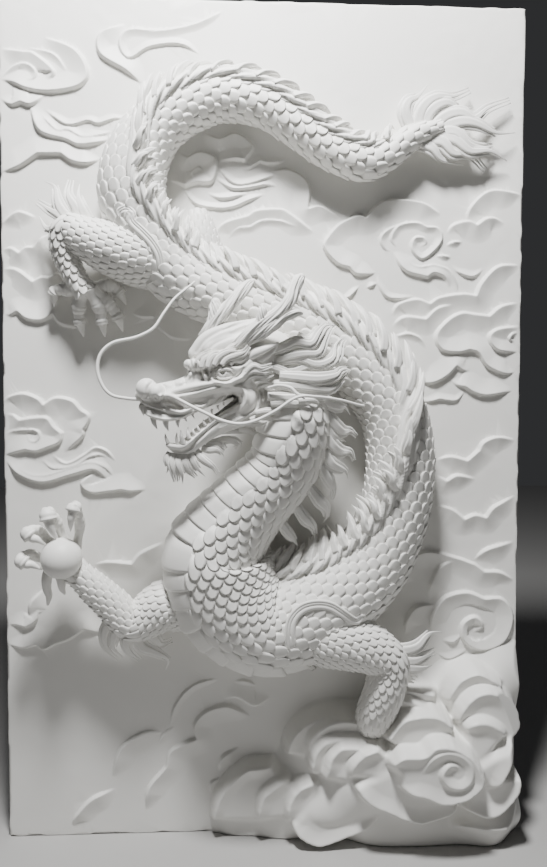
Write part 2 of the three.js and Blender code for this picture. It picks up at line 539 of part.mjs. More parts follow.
// Locks of mane, beard, brow, tail, knees and elbow.
const LOCKS = [
  [
    [49.6, 93.1, 13.9, 1.4], [53.3, 94.8, 14.8, 1.4], [56.3, 94.8, 14.9, 1.2], [58.4, 96.9, 14.6, 1],
    [60.3, 98.1, 13.9, 0.7], [61.8, 98, 13.1, 0.3],
  ],
  [
    [50.9, 91.6, 13.5, 1.4], [54.1, 92.1, 14.6, 1.4], [57.4, 91.5, 14.8, 1.4], [60.2, 92.1, 14.4, 1.2],
    [61.6, 94, 13.6, 0.9], [63.5, 96.1, 12.3, 0.4],
  ],
  [
    [52.7, 89.6, 13.1, 1.6], [56, 88.6, 13.6, 1.7], [59.1, 88.6, 13.1, 1.6], [61.8, 89.7, 12.3, 1.1],
    [64.3, 90.3, 11.3, 0.4],
  ],
  [
    [51.4, 87.4, 12.3, 1.6], [54.8, 87.1, 12.8, 1.8], [58.2, 87.1, 12.3, 1.6], [61.1, 87.4, 11.5, 1.2],
    [63.1, 86.4, 10.5, 0.5],
  ],
  [
    [48.9, 84.5, 12.3, 1.6], [51.4, 83.8, 12.5, 1.6], [54.1, 83.5, 12, 1.1], [57.2, 84.5, 11.3, 0.5],
  ],
  [
    [54.2, 85.1, 10.7, 1.4], [58.1, 84.5, 10.7, 1.4], [60.8, 83.8, 9.8, 1.1], [63.4, 81.9, 8.5, 0.4],
  ],
  [
    [34.5, 76.7, 14.2, 0.9], [33.8, 74, 14.9, 0.8], [34.1, 72.2, 14.9, 0.6], [33.9, 70.8, 14.6, 0.2],
  ],
  [
    [36.2, 76.7, 14.1, 0.9], [35.9, 74.2, 14.8, 0.8], [36.9, 72.7, 14.8, 0.5], [37.2, 71.7, 14.3, 0.2],
  ],
  [
    [38, 77.6, 13.8, 0.9], [39.1, 74.6, 14.1, 0.7], [40.4, 73.7, 14.1, 0.6], [41.2, 72, 13.4, 0.2],
  ],
  [
    [40, 78.9, 13.3, 0.9], [41.9, 76.9, 13.3, 0.8], [42.7, 75.8, 13.1, 0.6], [41.6, 75, 12.5, 0.3],
  ],
  [
    [77.4, 135.6, 2.8, 0.9], [75.9, 138.6, 3.4, 0.8], [76.6, 140.7, 3.4, 0.6], [78.5, 141.9, 2.8, 0.4],
    [80.8, 144.8, 1.6, 0.2],
  ],
  [
    [78.1, 135.6, 2.8, 0.9], [79.1, 139.3, 3.4, 0.8], [81.7, 141.5, 3.4, 0.6], [85.3, 142, 2.8, 0.4],
    [88.7, 143.7, 1.6, 0.2],
  ],
  [
    [78.9, 135.6, 2.8, 0.9], [81, 139.1, 3.4, 0.8], [83.8, 140.5, 3.4, 0.6], [86.3, 139.8, 2.8, 0.4],
    [89.4, 140.4, 1.6, 0.2],
  ],
  [
    [81.2, 136, 2.8, 0.9], [83.7, 138.1, 3.3, 0.8], [86.7, 138.7, 3.4, 0.7], [89.1, 137.7, 3.2, 0.6],
    [91.9, 140, 2.6, 0.4], [96.5, 142, 1.6, 0.2],
  ],
  [
    [82, 135.7, 2.8, 0.9], [86.3, 137, 3.4, 0.8], [89.6, 136.7, 3.4, 0.6], [93.5, 135.4, 2.8, 0.4],
    [97.6, 135.9, 1.6, 0.2],
  ],
  [
    [82, 135.1, 2.8, 0.9], [85.4, 135.2, 3.4, 0.8], [87.7, 133, 3.4, 0.6], [90.2, 132.7, 2.8, 0.4],
    [93.3, 133.2, 1.6, 0.2],
  ],
  [
    [82, 134.6, 2.8, 0.9], [85.4, 133.7, 3.4, 0.8], [88.3, 131.7, 3.4, 0.6], [92.4, 132, 2.8, 0.4],
    [96.1, 130.6, 1.6, 0.2],
  ],
  [
    [79.7, 133.8, 2.8, 0.9], [83, 133.3, 3.4, 0.8], [85.1, 131.3, 3.4, 0.6], [88.5, 131.2, 2.8, 0.4],
    [91.9, 128.8, 1.6, 0.2],
  ],
  [
    [78.5, 133.4, 2.8, 0.9], [81.1, 132.1, 3.4, 0.7], [83.1, 130.2, 3, 0.5], [87.8, 129.7, 1.6, 0.2],
  ],
  [
    [15.1, 116.7, 5.4, 0.8], [13, 118.7, 5.8, 0.8], [12, 120.8, 5.7, 0.6], [11.5, 123.3, 5.2, 0.4],
    [9.4, 124.6, 4.1, 0.2],
  ],
  [
    [13.8, 115.6, 5.4, 0.8], [11.6, 115.8, 5.8, 0.7], [9.9, 115.9, 5.4, 0.5], [8.3, 118.3, 4.1, 0.2],
  ],
  [
    [16.3, 117.4, 5.4, 0.8], [15, 119.9, 5.8, 0.7], [13.9, 122, 5.4, 0.5], [14.1, 124.9, 4.1, 0.2],
  ],
  [
    [22.5, 43.6, 5.1, 0.8], [21.4, 40.9, 5, 0.7], [21.1, 38.4, 4.3, 0.5], [22.7, 36.1, 2.8, 0.2],
  ],
  [
    [24, 42.8, 5.1, 0.8], [23.6, 39.8, 5, 0.7], [24.2, 37.6, 4.3, 0.5], [25.9, 35.5, 2.8, 0.2],
  ],
  [
    [25.5, 42, 5.1, 0.8], [26.6, 39, 5.1, 0.8], [29, 37.7, 4.8, 0.6], [31.3, 36, 4, 0.4],
    [30.8, 33.5, 2.8, 0.2],
  ],
  [
    [73, 39, 9.2, 0.9], [75.4, 39, 9.4, 0.8], [77.9, 39.6, 9, 0.7], [80.2, 41.5, 8.1, 0.5],
    [83.1, 41.3, 6.6, 0.3],
  ],
  [
    [73.4, 36.3, 9.2, 0.9], [76.4, 35.6, 9.3, 0.8], [78.9, 35.2, 8.5, 0.6], [81.3, 35, 6.6, 0.3],
  ],
];

// The whiskers, from the bottom of their sockets to just past their tips: across, up and out.
const WHISKERS = {
  whisker_near: [
    [33.8, 85.2, 16.1],
    [32.1, 85.4, 16.9],
    [32.8, 85.6, 17.7],
    [34, 85.3, 18.2],
    [36.5, 84, 18.7],
    [39.2, 82.7, 19],
    [41.8, 81.5, 19.2],
    [44.7, 80.9, 19.3],
    [47.5, 81.4, 19.3],
    [50.8, 83, 19.3],
    [54.5, 85.3, 19],
    [58.1, 85.4, 18.2],
    [62, 84.9, 17],
    [65.3, 84.1, 15.6],
    [66.5, 83.9, 15.1],
  ],
  whisker_far: [
    [29.4, 85.3, 14.9],
    [27.9, 84.9, 15.7],
    [25.8, 85.1, 16.7],
    [23.6, 85.6, 17.2],
    [22.1, 87.1, 17.2],
    [21.2, 89.8, 17],
    [21.7, 92.5, 16.7],
    [23.7, 94.4, 16.2],
    [27.4, 95.4, 15.6],
    [30.2, 97, 14.8],
    [31.9, 99.7, 13.8],
    [33.7, 102.5, 12.3],
    [36.2, 104.9, 10.7],
    [37, 105.7, 10.2],
  ],
};
const WHISKER_SIDES = 6;
const WHISKER_RINGS = 26;

function body() {
  const stagger = scales(BODY_SIDES);
  return limb(BODY, BODY_SIDES, BODY_RINGS, (angle, ring, station) => {
    const fromCrest = Math.abs(Math.atan2(Math.sin(angle - station.crest), Math.cos(angle - station.crest)));
    return fromCrest > BELLY_REACH ? BELLY_RISE * (ring % 2) : stagger(angle, ring);
  });
}

// Flame-like tufts along the crest, each leaning toward the tail over the one behind it.
function crest() {
  const path = new Path(BODY);
  const tufts = [];
  for (let i = 0; i < CREST_TUFTS; i++) {
    const { middle, ahead, out, right, radius, crest: angle } = path.station(
      CREST_START + (CREST_END - CREST_START) * (i / (CREST_TUFTS - 1)),
    );
    const away = out.clone().multiplyScalar(Math.cos(angle)).addScaledVector(right, Math.sin(angle));
    const root = middle.clone().addScaledVector(away, radius - CREST_SINK * GIRTH);
    const lean = away.clone().addScaledVector(ahead, -CREST_LEAN).normalize();
    tufts.push(
      solid(
        form(CREST_SIDES, 1, (u, turn, edge) => {
          const girth = edge * CREST_GIRTH * GIRTH * (1 - CREST_TAPER * u);
          return root
            .clone()
            .addScaledVector(lean, CREST_LENGTH * GIRTH * (u - CREST_ROOT))
            .addScaledVector(ahead, girth * Math.cos(turn))
            .addScaledVector(new THREE.Vector3().crossVectors(away, ahead), girth * CREST_FLATNESS * Math.sin(turn));
        }),
      ),
    );
  }
  return tufts;
}

function boss([x, z, out, radius], sides = BOSS_SIDES, rings = BOSS_RINGS) {
  const ball = new THREE.SphereGeometry(radius * GIRTH, sides, rings);
  const middle = at(x, z, out);
  ball.translate(middle.x, middle.y, middle.z);
  ball.deleteAttribute("normal");
  ball.deleteAttribute("uv");
  return solid(mergeVertices(ball));
}

function head() {
  return [
    limb(SNOUT_TO_SKULL, SKULL_SIDES, SNOUT_TO_SKULL.length - 1, () => 0, HEAD_DEPTH_SHARE),
    limb(UPPER_LIP, JAW_SIDES, UPPER_LIP.length - 1),
    limb(LOWER_JAW, JAW_SIDES, LOWER_JAW.length - 1),
    limb(BROW, JAW_SIDES, BROW.length - 1),
    limb(CHEEK, JAW_SIDES, CHEEK.length - 1),
    ...ROUND_BOSSES.map((item) => boss(item)),
    ...HORNS.map((stations) => limb(stations, HORN_SIDES, stations.length - 1)),
    ...TEETH.map(([x, z, tipX, tipZ, out, radius]) =>
      limb([[x, z, out, radius], [tipX, tipZ, out, TOOTH_TIP]], LOCK_SIDES, 1),
    ),
  ];
}

function dragon() {
  return [
    body(),
    ...crest(),
    ...LIMBS.map((stations) => limb(stations, LIMB_SIDES, LIMB_RINGS, scales(LIMB_SIDES))),
    ...DIGITS.map((stations) => limb(stations, DIGIT_SIDES, stations.length - 1)),
    boss(FOOT_BALL),
    limb(PALM, LIMB_SIDES, PALM.length - 1),
    boss([...PEARL, PEARL_DIAMETER / 2 / GIRTH], PEARL_SIDES, PEARL_RINGS),
    ...head(),
    ...NECK_FINS.map(([x, z, out, tipX, tipZ, tipOut]) =>
      limb([[x, z, out, FIN_GIRTH], [tipX, tipZ, tipOut, FIN_TIP]], LOCK_SIDES, 1),
    ),
    ...LOCKS.map((stations) => limb(stations, LOCK_SIDES, stations.length - 1)),
  ];
}

// A whisker is a round rod; rings from first to last, and grown by a clearance for its socket.
function whisker(stations, first, last, clearance) {
  const line = new THREE.CatmullRomCurve3(stations.map(([x, z, out]) => at(x, z, out)));
  const radius = WHISKER_DIAMETER / 2 + clearance;
  return form(WHISKER_SIDES, last - first, (u, angle, edge, ring) => {
    const along = (first + ring) / WHISKER_RINGS;
    const { out, right } = frameAt(line.getTangentAt(along));
    return line
      .getPointAt(along)
      .addScaledVector(out, edge * radius * Math.cos(angle))
      .addScaledVector(right, edge * radius * Math.sin(angle));
  });
}

function panel() {
  const slab = block(PANEL_WIDTH, PANEL_THICKNESS, PANEL_HEIGHT, new THREE.Vector3(0, 0, PANEL_HEIGHT / 2));
  const carving = join([
    ...CLOUD_ARCS.map((arc) => terrace(arc, CLOUD_RISE, CLOUD_WIDTH)),
    ...STREAM_ARCS.map((arc) => terrace(arc, STREAM_RISE, STREAM_WIDTH)),
    ...BANK_LOBES.map((row) => lobe(...row)),
    ...dragon(),
  ]);
  const depth = 2 * RELIEF_DEPTH;
  const middle = new THREE.Vector3(0, FACE + CARVING_ROOT - depth / 2, PANEL_HEIGHT / 2);
  const inFront = block(PANEL_WIDTH, depth, PANEL_HEIGHT, middle);
  let whole = slab.add(carving.intersect(inFront));
  for (const stations of Object.values(WHISKERS)) {
    whole = whole.subtract(solid(whisker(stations, 0, WHISKER_RINGS, SOCKET_CLEARANCE)));
  }
  return whole.simplify(MERGE_DISTANCE);
}

function geometryOf(shape) {
  const { vertProperties, triVerts } = shape.getMesh();
  const geometry = new THREE.BufferGeometry();
  geometry.setAttribute("position", new THREE.BufferAttribute(vertProperties, 3));
  geometry.setIndex(new THREE.BufferAttribute(triVerts, 1));
  return geometry;
}

function named(name, geometry) {
  const plaster = new THREE.MeshStandardMaterial({ color: 0xdedad2, roughness: 0.85, metalness: 0 });
  const mesh = new THREE.Mesh(geometry, plaster);
  mesh.name = name;
  return mesh;
}

const group = new THREE.Group();
group.add(named("relief_panel", geometryOf(panel())));
for (const [name, stations] of Object.entries(WHISKERS)) {
  const rod = solid(whisker(stations, 1, WHISKER_RINGS - 1, 0));
  group.add(named(name, geometryOf(rod)));
}

export default group;
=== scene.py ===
"""A plaster relief panel of a dragon among clouds, dressed over its solid model.

The carving is drawn on the panel's own grid of squares: 100 across, 160 up, and 20 out from the face.
Forms are worked in clay-like pieces: a height field for the slab and clouds, lofted tracks for the body
and limbs with single scales laid on them, a remeshed head, and ribbed locks for crest, mane and tail.
"""

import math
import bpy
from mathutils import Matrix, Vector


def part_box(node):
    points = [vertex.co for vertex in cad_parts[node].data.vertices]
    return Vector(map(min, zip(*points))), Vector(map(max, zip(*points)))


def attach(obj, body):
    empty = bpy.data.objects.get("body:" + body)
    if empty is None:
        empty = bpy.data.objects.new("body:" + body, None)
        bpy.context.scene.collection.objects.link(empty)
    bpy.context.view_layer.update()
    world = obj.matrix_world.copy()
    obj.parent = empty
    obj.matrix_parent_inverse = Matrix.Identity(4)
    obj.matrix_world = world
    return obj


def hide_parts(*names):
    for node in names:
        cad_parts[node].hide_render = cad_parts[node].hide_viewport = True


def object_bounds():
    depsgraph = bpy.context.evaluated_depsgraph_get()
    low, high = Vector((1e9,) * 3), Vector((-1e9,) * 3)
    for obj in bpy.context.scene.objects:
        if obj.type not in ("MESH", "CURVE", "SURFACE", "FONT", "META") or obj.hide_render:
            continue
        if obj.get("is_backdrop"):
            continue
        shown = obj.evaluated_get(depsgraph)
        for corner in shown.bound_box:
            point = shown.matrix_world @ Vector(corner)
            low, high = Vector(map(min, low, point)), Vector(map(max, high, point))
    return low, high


bl_info = {
    "name": "Dragon Relief Panel",
    "version": (1, 0, 0),
    "blender": (4, 5, 0),
    "location": "View3D > Sidebar > Relief Panel",
    "description": "Builds the carved surface of a plaster dragon relief over its solid model",
    "category": "Object",
}

import bmesh
import bpy
import numpy as np
from mathutils import Matrix, Vector

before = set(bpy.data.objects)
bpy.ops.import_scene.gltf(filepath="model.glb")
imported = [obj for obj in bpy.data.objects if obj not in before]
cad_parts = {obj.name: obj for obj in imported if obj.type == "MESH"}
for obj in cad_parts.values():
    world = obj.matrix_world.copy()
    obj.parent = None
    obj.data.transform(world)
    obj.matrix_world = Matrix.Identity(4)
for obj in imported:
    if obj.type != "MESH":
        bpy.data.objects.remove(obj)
SOLID_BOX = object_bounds()

# The drawing's grid, in metres, taken from the solid panel
PANEL_LOW, PANEL_HIGH = (Vector(corner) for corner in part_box("relief_panel"))
SQUARES_ACROSS = 100
SQUARES_UP = 160
WIDTH = PANEL_HIGH.x - PANEL_LOW.x
HEIGHT = PANEL_HIGH.z
BACK = PANEL_HIGH.y
FACE = -BACK
ACROSS = WIDTH / SQUARES_ACROSS
UP = HEIGHT / SQUARES_UP
OUT = 0.0122
OUTWARD = np.array([0.0, -1.0, 0.0])
MM = 0.001
SEED = 7

# Share of a bend's radius that a round form may fill on the bend's inner side
BEND_LIMIT = 0.85
# Triangles left after thinning
PANEL_TRIANGLES = 140000
BANK_TRIANGLES = 86000
HEAD_TRIANGLES = 99000


def at(x, z, out=0.0):
    """Points of the drawing, squares to metres."""
    x, z, out = np.broadcast_arrays(np.asarray(x, float), z, out)
    return np.stack([x * ACROSS - WIDTH / 2, FACE - out * OUT, z * UP], axis=-1)


def unit(vectors):
    return vectors / np.maximum(np.linalg.norm(vectors, axis=-1, keepdims=True), 1e-12)


def circle(sides):
    """Angles of a ring's points."""
    return np.linspace(0, 2 * np.pi, sides, endpoint=False)


def ball(rings, sides, flat=1.0):
    """Rings of points on a ball of radius 1, from its top down, flattened from front to back."""
    ring = np.linspace(0, np.pi, rings)[1:-1]
    turn = circle(sides)
    x = np.sin(ring)[:, None] * np.cos(turn)
    y = flat * np.sin(ring)[:, None] * np.sin(turn)
    z = np.cos(ring)[:, None] * np.ones_like(turn)
    return np.stack([x, y, z], axis=-1)


def smooth_rows(rows, count, dims):
    """Samples of a Catmull-Rom curve through rows, evenly spaced over the first dims columns."""
    rows = np.asarray(rows, float)
    padded = np.vstack([2 * rows[0] - rows[1], rows, 2 * rows[-1] - rows[-2]])
    t = np.linspace(0, 1, 24, endpoint=False)[:, None]
    spans = []
    for a, b, c, d in zip(padded, padded[1:], padded[2:], padded[3:]):
        square, cube = 2 * a - 5 * b + 4 * c - d, 3 * b - a - 3 * c + d
        spans.append(0.5 * (2 * b + (c - a) * t + square * t**2 + cube * t**3))
    dense = np.vstack([*spans, rows[-1:]])
    steps = np.linalg.norm(np.diff(dense[:, :dims], axis=0), axis=1)
    along = np.concatenate([[0], np.cumsum(steps)])
    wanted = np.linspace(0, along[-1], count)
    return np.stack([np.interp(wanted, along, column) for column in dense.T], axis=-1), wanted


class Track:
    """A round form's middle line: stations are across, up, out, radius in squares and crest angle."""

    def __init__(self, stations, count=240):
        rows = np.array([list(row) + [0] * (5 - len(row)) for row in stations], float)
        places = at(rows[:, 0], rows[:, 1], rows[:, 2])
        rows = np.hstack([places, rows[:, 3:4] * ACROSS, np.radians(rows[:, 4:5])])
        table, self.s = smooth_rows(rows, count, 3)
        self.length = self.s[-1]
        self.middle = table[:, :3]
        self.radius = table[:, 3]
        self.crest = table[:, 4]
        self.ahead = unit(np.gradient(self.middle, self.s, axis=0))
        self.out = unit(OUTWARD - self.ahead * (self.ahead @ OUTWARD)[:, None])
        self.right = np.cross(self.ahead, self.out)
        self.bend = np.gradient(self.ahead, self.s, axis=0)

    def read(self, table, s):
        if table.ndim == 1:
            return np.interp(s, self.s, table)
        return np.stack([np.interp(s, self.s, column) for column in table.T], axis=-1)

    def place(self, s, angle, height=0.0, flat=1.0):
        """Points on the form: distance along it, angle round it from the viewer's side, height over it."""
        s, angle, height = np.broadcast_arrays(s, angle, height)
        spoke = (
            self.read(self.out, s) * (flat * np.cos(angle))[..., None]
            + self.read(self.right, s) * np.sin(angle)[..., None]
        )
        inward = np.maximum(np.sum(spoke * self.read(self.bend, s), axis=-1), 1e-6)
        reach = np.minimum(self.read(self.radius, s) + height, BEND_LIMIT / inward)
        return self.read(self.middle, s) + spoke * reach[..., None]


def tube_faces(rings, sides):
    """Quads and end triangles of a closed tube whose last two points are the middles of its ends."""
    i, j = np.meshgrid(np.arange(rings - 1), np.arange(sides), indexing="ij")
    k = (j + 1) % sides
    corners = [i * sides + j, i * sides + k, (i + 1) * sides + k, (i + 1) * sides + j]
    quads = np.stack(corners, -1).reshape(-1, 4)
    j = np.arange(sides)
    k = (j + 1) % sides
    first, last = rings * sides, rings * sides + 1
    top = (rings - 1) * sides
    start = np.stack([np.full(sides, first), k, j], -1)
    end = np.stack([np.full(sides, last), top + j, top + k], -1)
    return quads, np.vstack([start, end])


def plate_faces(rows, columns):
    """Faces of a grid of points and of the skirt below its rim, the rim, and the triangles of the floor."""
    index = np.arange(rows * columns).reshape(rows, columns)
    corners = [index[:-1, :-1], index[:-1, 1:], index[1:, 1:], index[1:, :-1]]
    quads = np.stack(corners, -1).reshape(-1, 4)
    rim = np.concatenate([index[0, :-1], index[:-1, -1], index[-1, :0:-1], index[:0:-1, 0]])
    below = rows * columns + np.arange(len(rim))
    after = np.roll(np.arange(len(rim)), -1)
    skirt = np.stack([rim, rim[after], below[after], below], -1)
    middle = rows * columns + len(rim)
    floor = np.stack([below, below[after], np.full(len(rim), middle)], -1)
    return np.vstack([quads, skirt]), rim, floor


class Clay:
    """Gathers closed forms and makes one piece of them."""

    def __init__(self):
        self.points = []
        self.faces = []
        self.count = 0

    def add(self, points, quads, triangles):
        """Adds many alike forms: points is forms by points by 3."""
        points = np.asarray(points, float)
        if points.ndim == 2:
            points = points[None]
        forms, each, _ = points.shape
        shift = (self.count + each * np.arange(forms))[:, None, None]
        for faces in (quads, triangles):
            if len(faces):
                self.faces += (faces[None] + shift).reshape(-1, faces.shape[1]).tolist()
        self.points.append(points.reshape(-1, 3))
        self.count += forms * each

    def tube(self, rings):
        """Adds closed tubes: rings is (forms by) rings by sides by 3."""
        rings = np.asarray(rings, float)
        if rings.ndim == 3:
            rings = rings[None]
        forms, along, sides, _ = rings.shape
        ends = rings[:, [0, -1]].mean(axis=2)
        points = np.concatenate([rings.reshape(forms, -1, 3), ends], axis=1)
        self.add(points, *tube_faces(along, sides))

    def piece(self, name):
        points = np.vstack(self.points)
        low, high = (np.array(corner) for corner in SOLID_BOX)
        points = np.clip(points, low + 1e-5, high - 1e-5)
        mesh = bpy.data.meshes.new(name)
        mesh.from_pydata(points.tolist(), [], self.faces)
        mesh.update()
        mesh.shade_smooth()
        obj = bpy.data.objects.new(name, mesh)
        bpy.context.scene.collection.objects.link(obj)
        outward(obj)
        return obj


def outward(obj):
    """Turns every closed form's faces out."""
    work = bmesh.new()
    work.from_mesh(obj.data)
    bmesh.ops.recalc_face_normals(work, faces=work.faces)
    work.to_mesh(obj.data)
    work.free()


def dress(obj, *nodes):
    """Gives a piece its finish and its body, and hides the solids that it stands for."""
    obj.data.materials.clear()
    obj.data.materials.append(plaster_material())
    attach(obj, "root")
    if nodes:
        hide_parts(*nodes)


def apply_modifiers(obj):
    depsgraph = bpy.context.evaluated_depsgraph_get()
    mesh = bpy.data.meshes.new_from_object(obj.evaluated_get(depsgraph))
    old = obj.data
    obj.modifiers.clear()
    obj.data = mesh
    bpy.data.meshes.remove(old)


# Each line of a cloud is in squares across and up, its edge raised toward its hollow side.
# Broad clouds: across, up, across, up
CLOUD_ARCS = [
    [8.4, 152.2, 14.2, 149.9, 16.5, 146, 14.8, 143.4, 9.6, 142.3, 5.3, 142.7, 2.7, 143.8, 0.4, 144.5],
    [0.5, 149.9, 4.7, 149.3, 6.7, 149, 10.3, 145.9, 8.3, 144.1],
    [0.3, 141, 2.3, 139.7, 4.1, 140.2],
    [4.1, 140.2, 5.9, 139.8, 7.9, 141.3, 8.4, 142.1],
    [5.7, 139.9, 7.5, 135.1, 12.4, 133.5, 14.7, 132.6, 18, 133, 20.7, 134],
    [0.1, 127.4, 3.5, 128.4, 7.1, 130.8],
    [7.1, 130.8, 11.4, 130.9],
    [11.4, 130.9, 13.4, 129.6, 16, 129.2, 18.9, 130.2],
    [23.5, 155, 18.9, 152.9, 18.9, 149.3, 23.5, 146.5, 26.8, 144],
    [33.1, 131.6, 35.1, 130.5],
    [35.1, 130.5, 37.4, 131.5, 40.3, 130.4, 39.8, 126.4, 36.7, 126, 34.7, 125.3],
    [34.7, 125.3, 33, 126.1, 31.4, 126.4],
    [38.1, 135.3, 41.1, 134.1, 44.2, 135.1, 47.4, 132.9, 45.9, 130.3],
    [45.9, 130.3, 43.5, 130.5, 40.8, 130.1],
    [40.1, 116.5, 42.1, 118.5, 46.6, 119.9],
    [46.6, 119.9, 48.3, 120.9, 52.6, 121.2, 54.4, 120.4, 56.8, 118.7, 59.2, 116.9],
    [50.7, 128.3, 54.4, 128.5, 58, 126.1, 58, 121.4],
    [58, 121.4, 60.5, 121.8, 64.1, 119.7],
    [83.9, 120.7, 79.7, 122.9, 73.8, 123.2, 71.1, 122, 69.2, 119.8],
    [69.2, 119.8, 67.4, 120.1, 64.3, 118.7, 62.4, 116.9],
    [62.4, 116.9, 61.1, 114.3, 63.6, 111.3, 66.1, 110.4],
    [66.1, 110.4, 67.4, 109.2, 70.2, 109.2, 71.7, 109.8],
    [74.6, 113.7, 76.7, 110.1, 81.2, 108.7],
    [81.2, 108.7, 82.6, 109.5, 84.7, 108.7, 85.7, 106.7],
    [88.9, 119.4, 89.7, 122.3, 93.1, 125.2, 98, 125, 99.8, 124.4],
    [85.1, 117, 86.3, 118.7, 89.1, 119.4, 90.8, 118.7],
    [90.8, 118.7, 92.5, 119.9, 94.3, 120.1, 96.4, 119.1],
    [74.4, 101.3, 75.7, 103.5, 79.2, 104.4, 81.8, 103.6],
    [81.8, 103.6, 83.7, 104.8, 88.2, 105.5, 90.8, 105.2],
    [90.8, 105.2, 92, 107.8, 95.1, 110.8, 99.5, 111.2],
    [74.6, 99.3, 76.8, 101, 81, 100.7],
    [81, 100.7, 83.4, 102.8, 87.2, 103.6],
    [99.4, 103.9, 95.9, 103.2, 93.5, 101.3],
    [93.5, 101.3, 90.7, 101.6, 87.9, 101.8, 85.1, 100.2, 83.1, 97.5, 84.2, 94.9, 87.3, 94.3, 89.7, 94.8],
    [89.7, 94.8, 91.5, 94.2, 93.3, 91.7, 96.8, 90.2, 99.3, 90.6],
    [99.7, 99.3, 95.3, 98.8, 93.6, 97.2, 95.3, 94.8, 99.6, 94.4],
    [79.5, 88.6, 82.5, 88.4, 85.3, 89.8, 87.2, 91.7],
    [87.2, 91.7, 88.4, 90.9, 90.1, 90.7],
    [86.3, 89.1, 87.4, 88, 89, 87.6],
    [89, 87.6, 90.6, 86.6, 93.4, 86, 98.6, 86.9],
    [0.2, 84.3, 1.2, 85.5, 3.9, 86.1, 6.5, 85.2, 7.7, 84],
    [7.7, 84, 9.9, 85.3, 12.9, 84.8, 14.7, 83],
    [14.7, 83, 16.1, 82, 15.9, 80.6, 15, 79.3],
    [15, 79.3, 14.8, 77.9, 11.4, 75],
    [0.5, 82.1, 1.8, 82, 3.1, 81.1],
    [3.1, 81.1, 5.5, 81.5, 8.2, 81.5, 9.5, 79.9, 11, 78.6],
    [11, 78.6, 10.5, 76.9, 7.7, 75.7],
    [7.7, 75.7, 6.1, 75.2, 4.1, 75.5],
    [4.1, 75.5, 2.1, 75, 0, 74.5],
    [0.4, 73.5, 2.7, 70.9, 7.3, 69.3, 12.7, 70.7, 16.8, 71.7, 18.8, 70.4, 19.8, 69.6],
    [17.7, 71.4, 14.6, 69, 16.4, 67.3, 19.8, 67.5, 22.2, 67.8],
    [22.2, 67.8, 24.2, 67.5, 27, 67.8],
    [0.2, 117.8, 3.3, 120, 6.6, 119],
    [0.1, 113, 1.9, 113.3, 3.5, 112.4],
    [3.5, 112.4, 4.6, 113.4, 6.2, 113.5],
    [6.2, 113.5, 7.6, 115.2, 9.2, 115.9],
    [0.1, 109.5, 2.9, 109.3, 6, 107.1],
    [6, 107.1, 7.5, 107.9, 9, 107.8],
    [9, 107.8, 10.5, 108.6, 12.2, 108.6],
    [0.3, 100.9, 1.7, 101, 2.9, 101.6],
    [2.9, 101.6, 4.7, 100.2, 7.4, 99.9, 9.7, 101.1],
    [9.7, 101.1, 11, 99.4, 14.7, 98.4],
    [24.2, 101.5, 26.2, 100.7, 28.7, 100.6],
    [28.7, 100.6, 29.2, 99.2, 31.9, 96.9, 34.6, 96.6, 36.3, 97.2],
    [16.6, 53.2, 19.7, 53.9, 24.1, 53.5],
    [24.1, 53.5, 25.9, 55.5, 30.3, 57.5],
    [4.4, 42.7, 4.7, 45.9, 7.3, 48.7],
    [0.3, 41.9, 2.3, 41.8, 3.7, 41.4],
    [3.7, 41.4, 5.5, 42.5, 6, 44.1],
    [6, 44.1, 7.2, 44.4],
    [0.2, 38.1, 3, 37.4, 5.8, 38],
    [5.8, 38, 7.1, 37, 9.2, 38, 12, 39, 14.9, 40.9],
    [14.9, 40.9, 16.6, 40.4, 18.7, 39.8],
    [83.4, 73.2, 86.2, 74, 89.5, 73.2],
    [89.5, 73.2, 91.8, 75.2],
    [91.8, 75.2, 92.8, 76.8, 95.6, 77.8, 99.3, 77.1],
    [83.4, 70.2, 85.5, 69.2],
    [85.5, 69.2, 87.6, 70.3, 91.3, 69.5],
    [83.5, 64.3, 86.6, 63.6, 89.1, 61.7],
    [89.1, 61.7, 91.2, 62.5, 93.4, 62],
    [93.4, 62, 95.1, 64.1, 99.5, 66.3],
    [76.8, 47.5, 76.4, 49.9, 78.3, 53.8, 82.2, 55.3, 87.8, 54, 90.3, 53.1],
    [90.3, 53.1, 91.5, 52.6, 93.2, 51.3],
    [93.2, 51.3, 96.4, 51.1, 99.4, 49.3],
    [82.4, 45.7, 82.6, 48.8, 84.7, 52.5, 88.5, 53.7],
    [91, 53.3, 93.8, 55.7, 99.3, 57.1],
    [83.1, 39.1, 82.9, 42, 85.2, 46, 89.6, 47.2, 93.3, 45.9],
    [93.3, 45.9, 97, 45.7, 99.1, 42.2, 97.5, 37.4, 93.1, 35.6, 89.4, 37.5, 89, 40.8, 91.5, 42.3, 93.2, 40.4,
    91.2, 39],
    [77.6, 38.8, 77.8, 41.7, 79.8, 44.4, 83.6, 44.6],
    [82.8, 31.4, 86.9, 28.9, 90.6, 30.9],
    [90.6, 30.9, 93.5, 31.4],
    [12.7, 1.4, 12.5, 3.3, 15.9, 7.2, 20.6, 9.1],
    [19.9, 11.5, 21.7, 17.2, 26.3, 20.1, 30.2, 20],
    [26.4, 4.6, 27, 9.1, 30.5, 13.4],
    [30.5, 13.4, 31.6, 16.7, 36.5, 18.9],
    [36.5, 18.9, 36.1, 21.7, 38.5, 24.3, 42.8, 25.2, 47, 22.9],
    [41.7, 26.6, 44.5, 27, 47.8, 25.3, 51, 26.8],
    [40.8, 12.1, 41.5, 15, 44.9, 16.8],
]

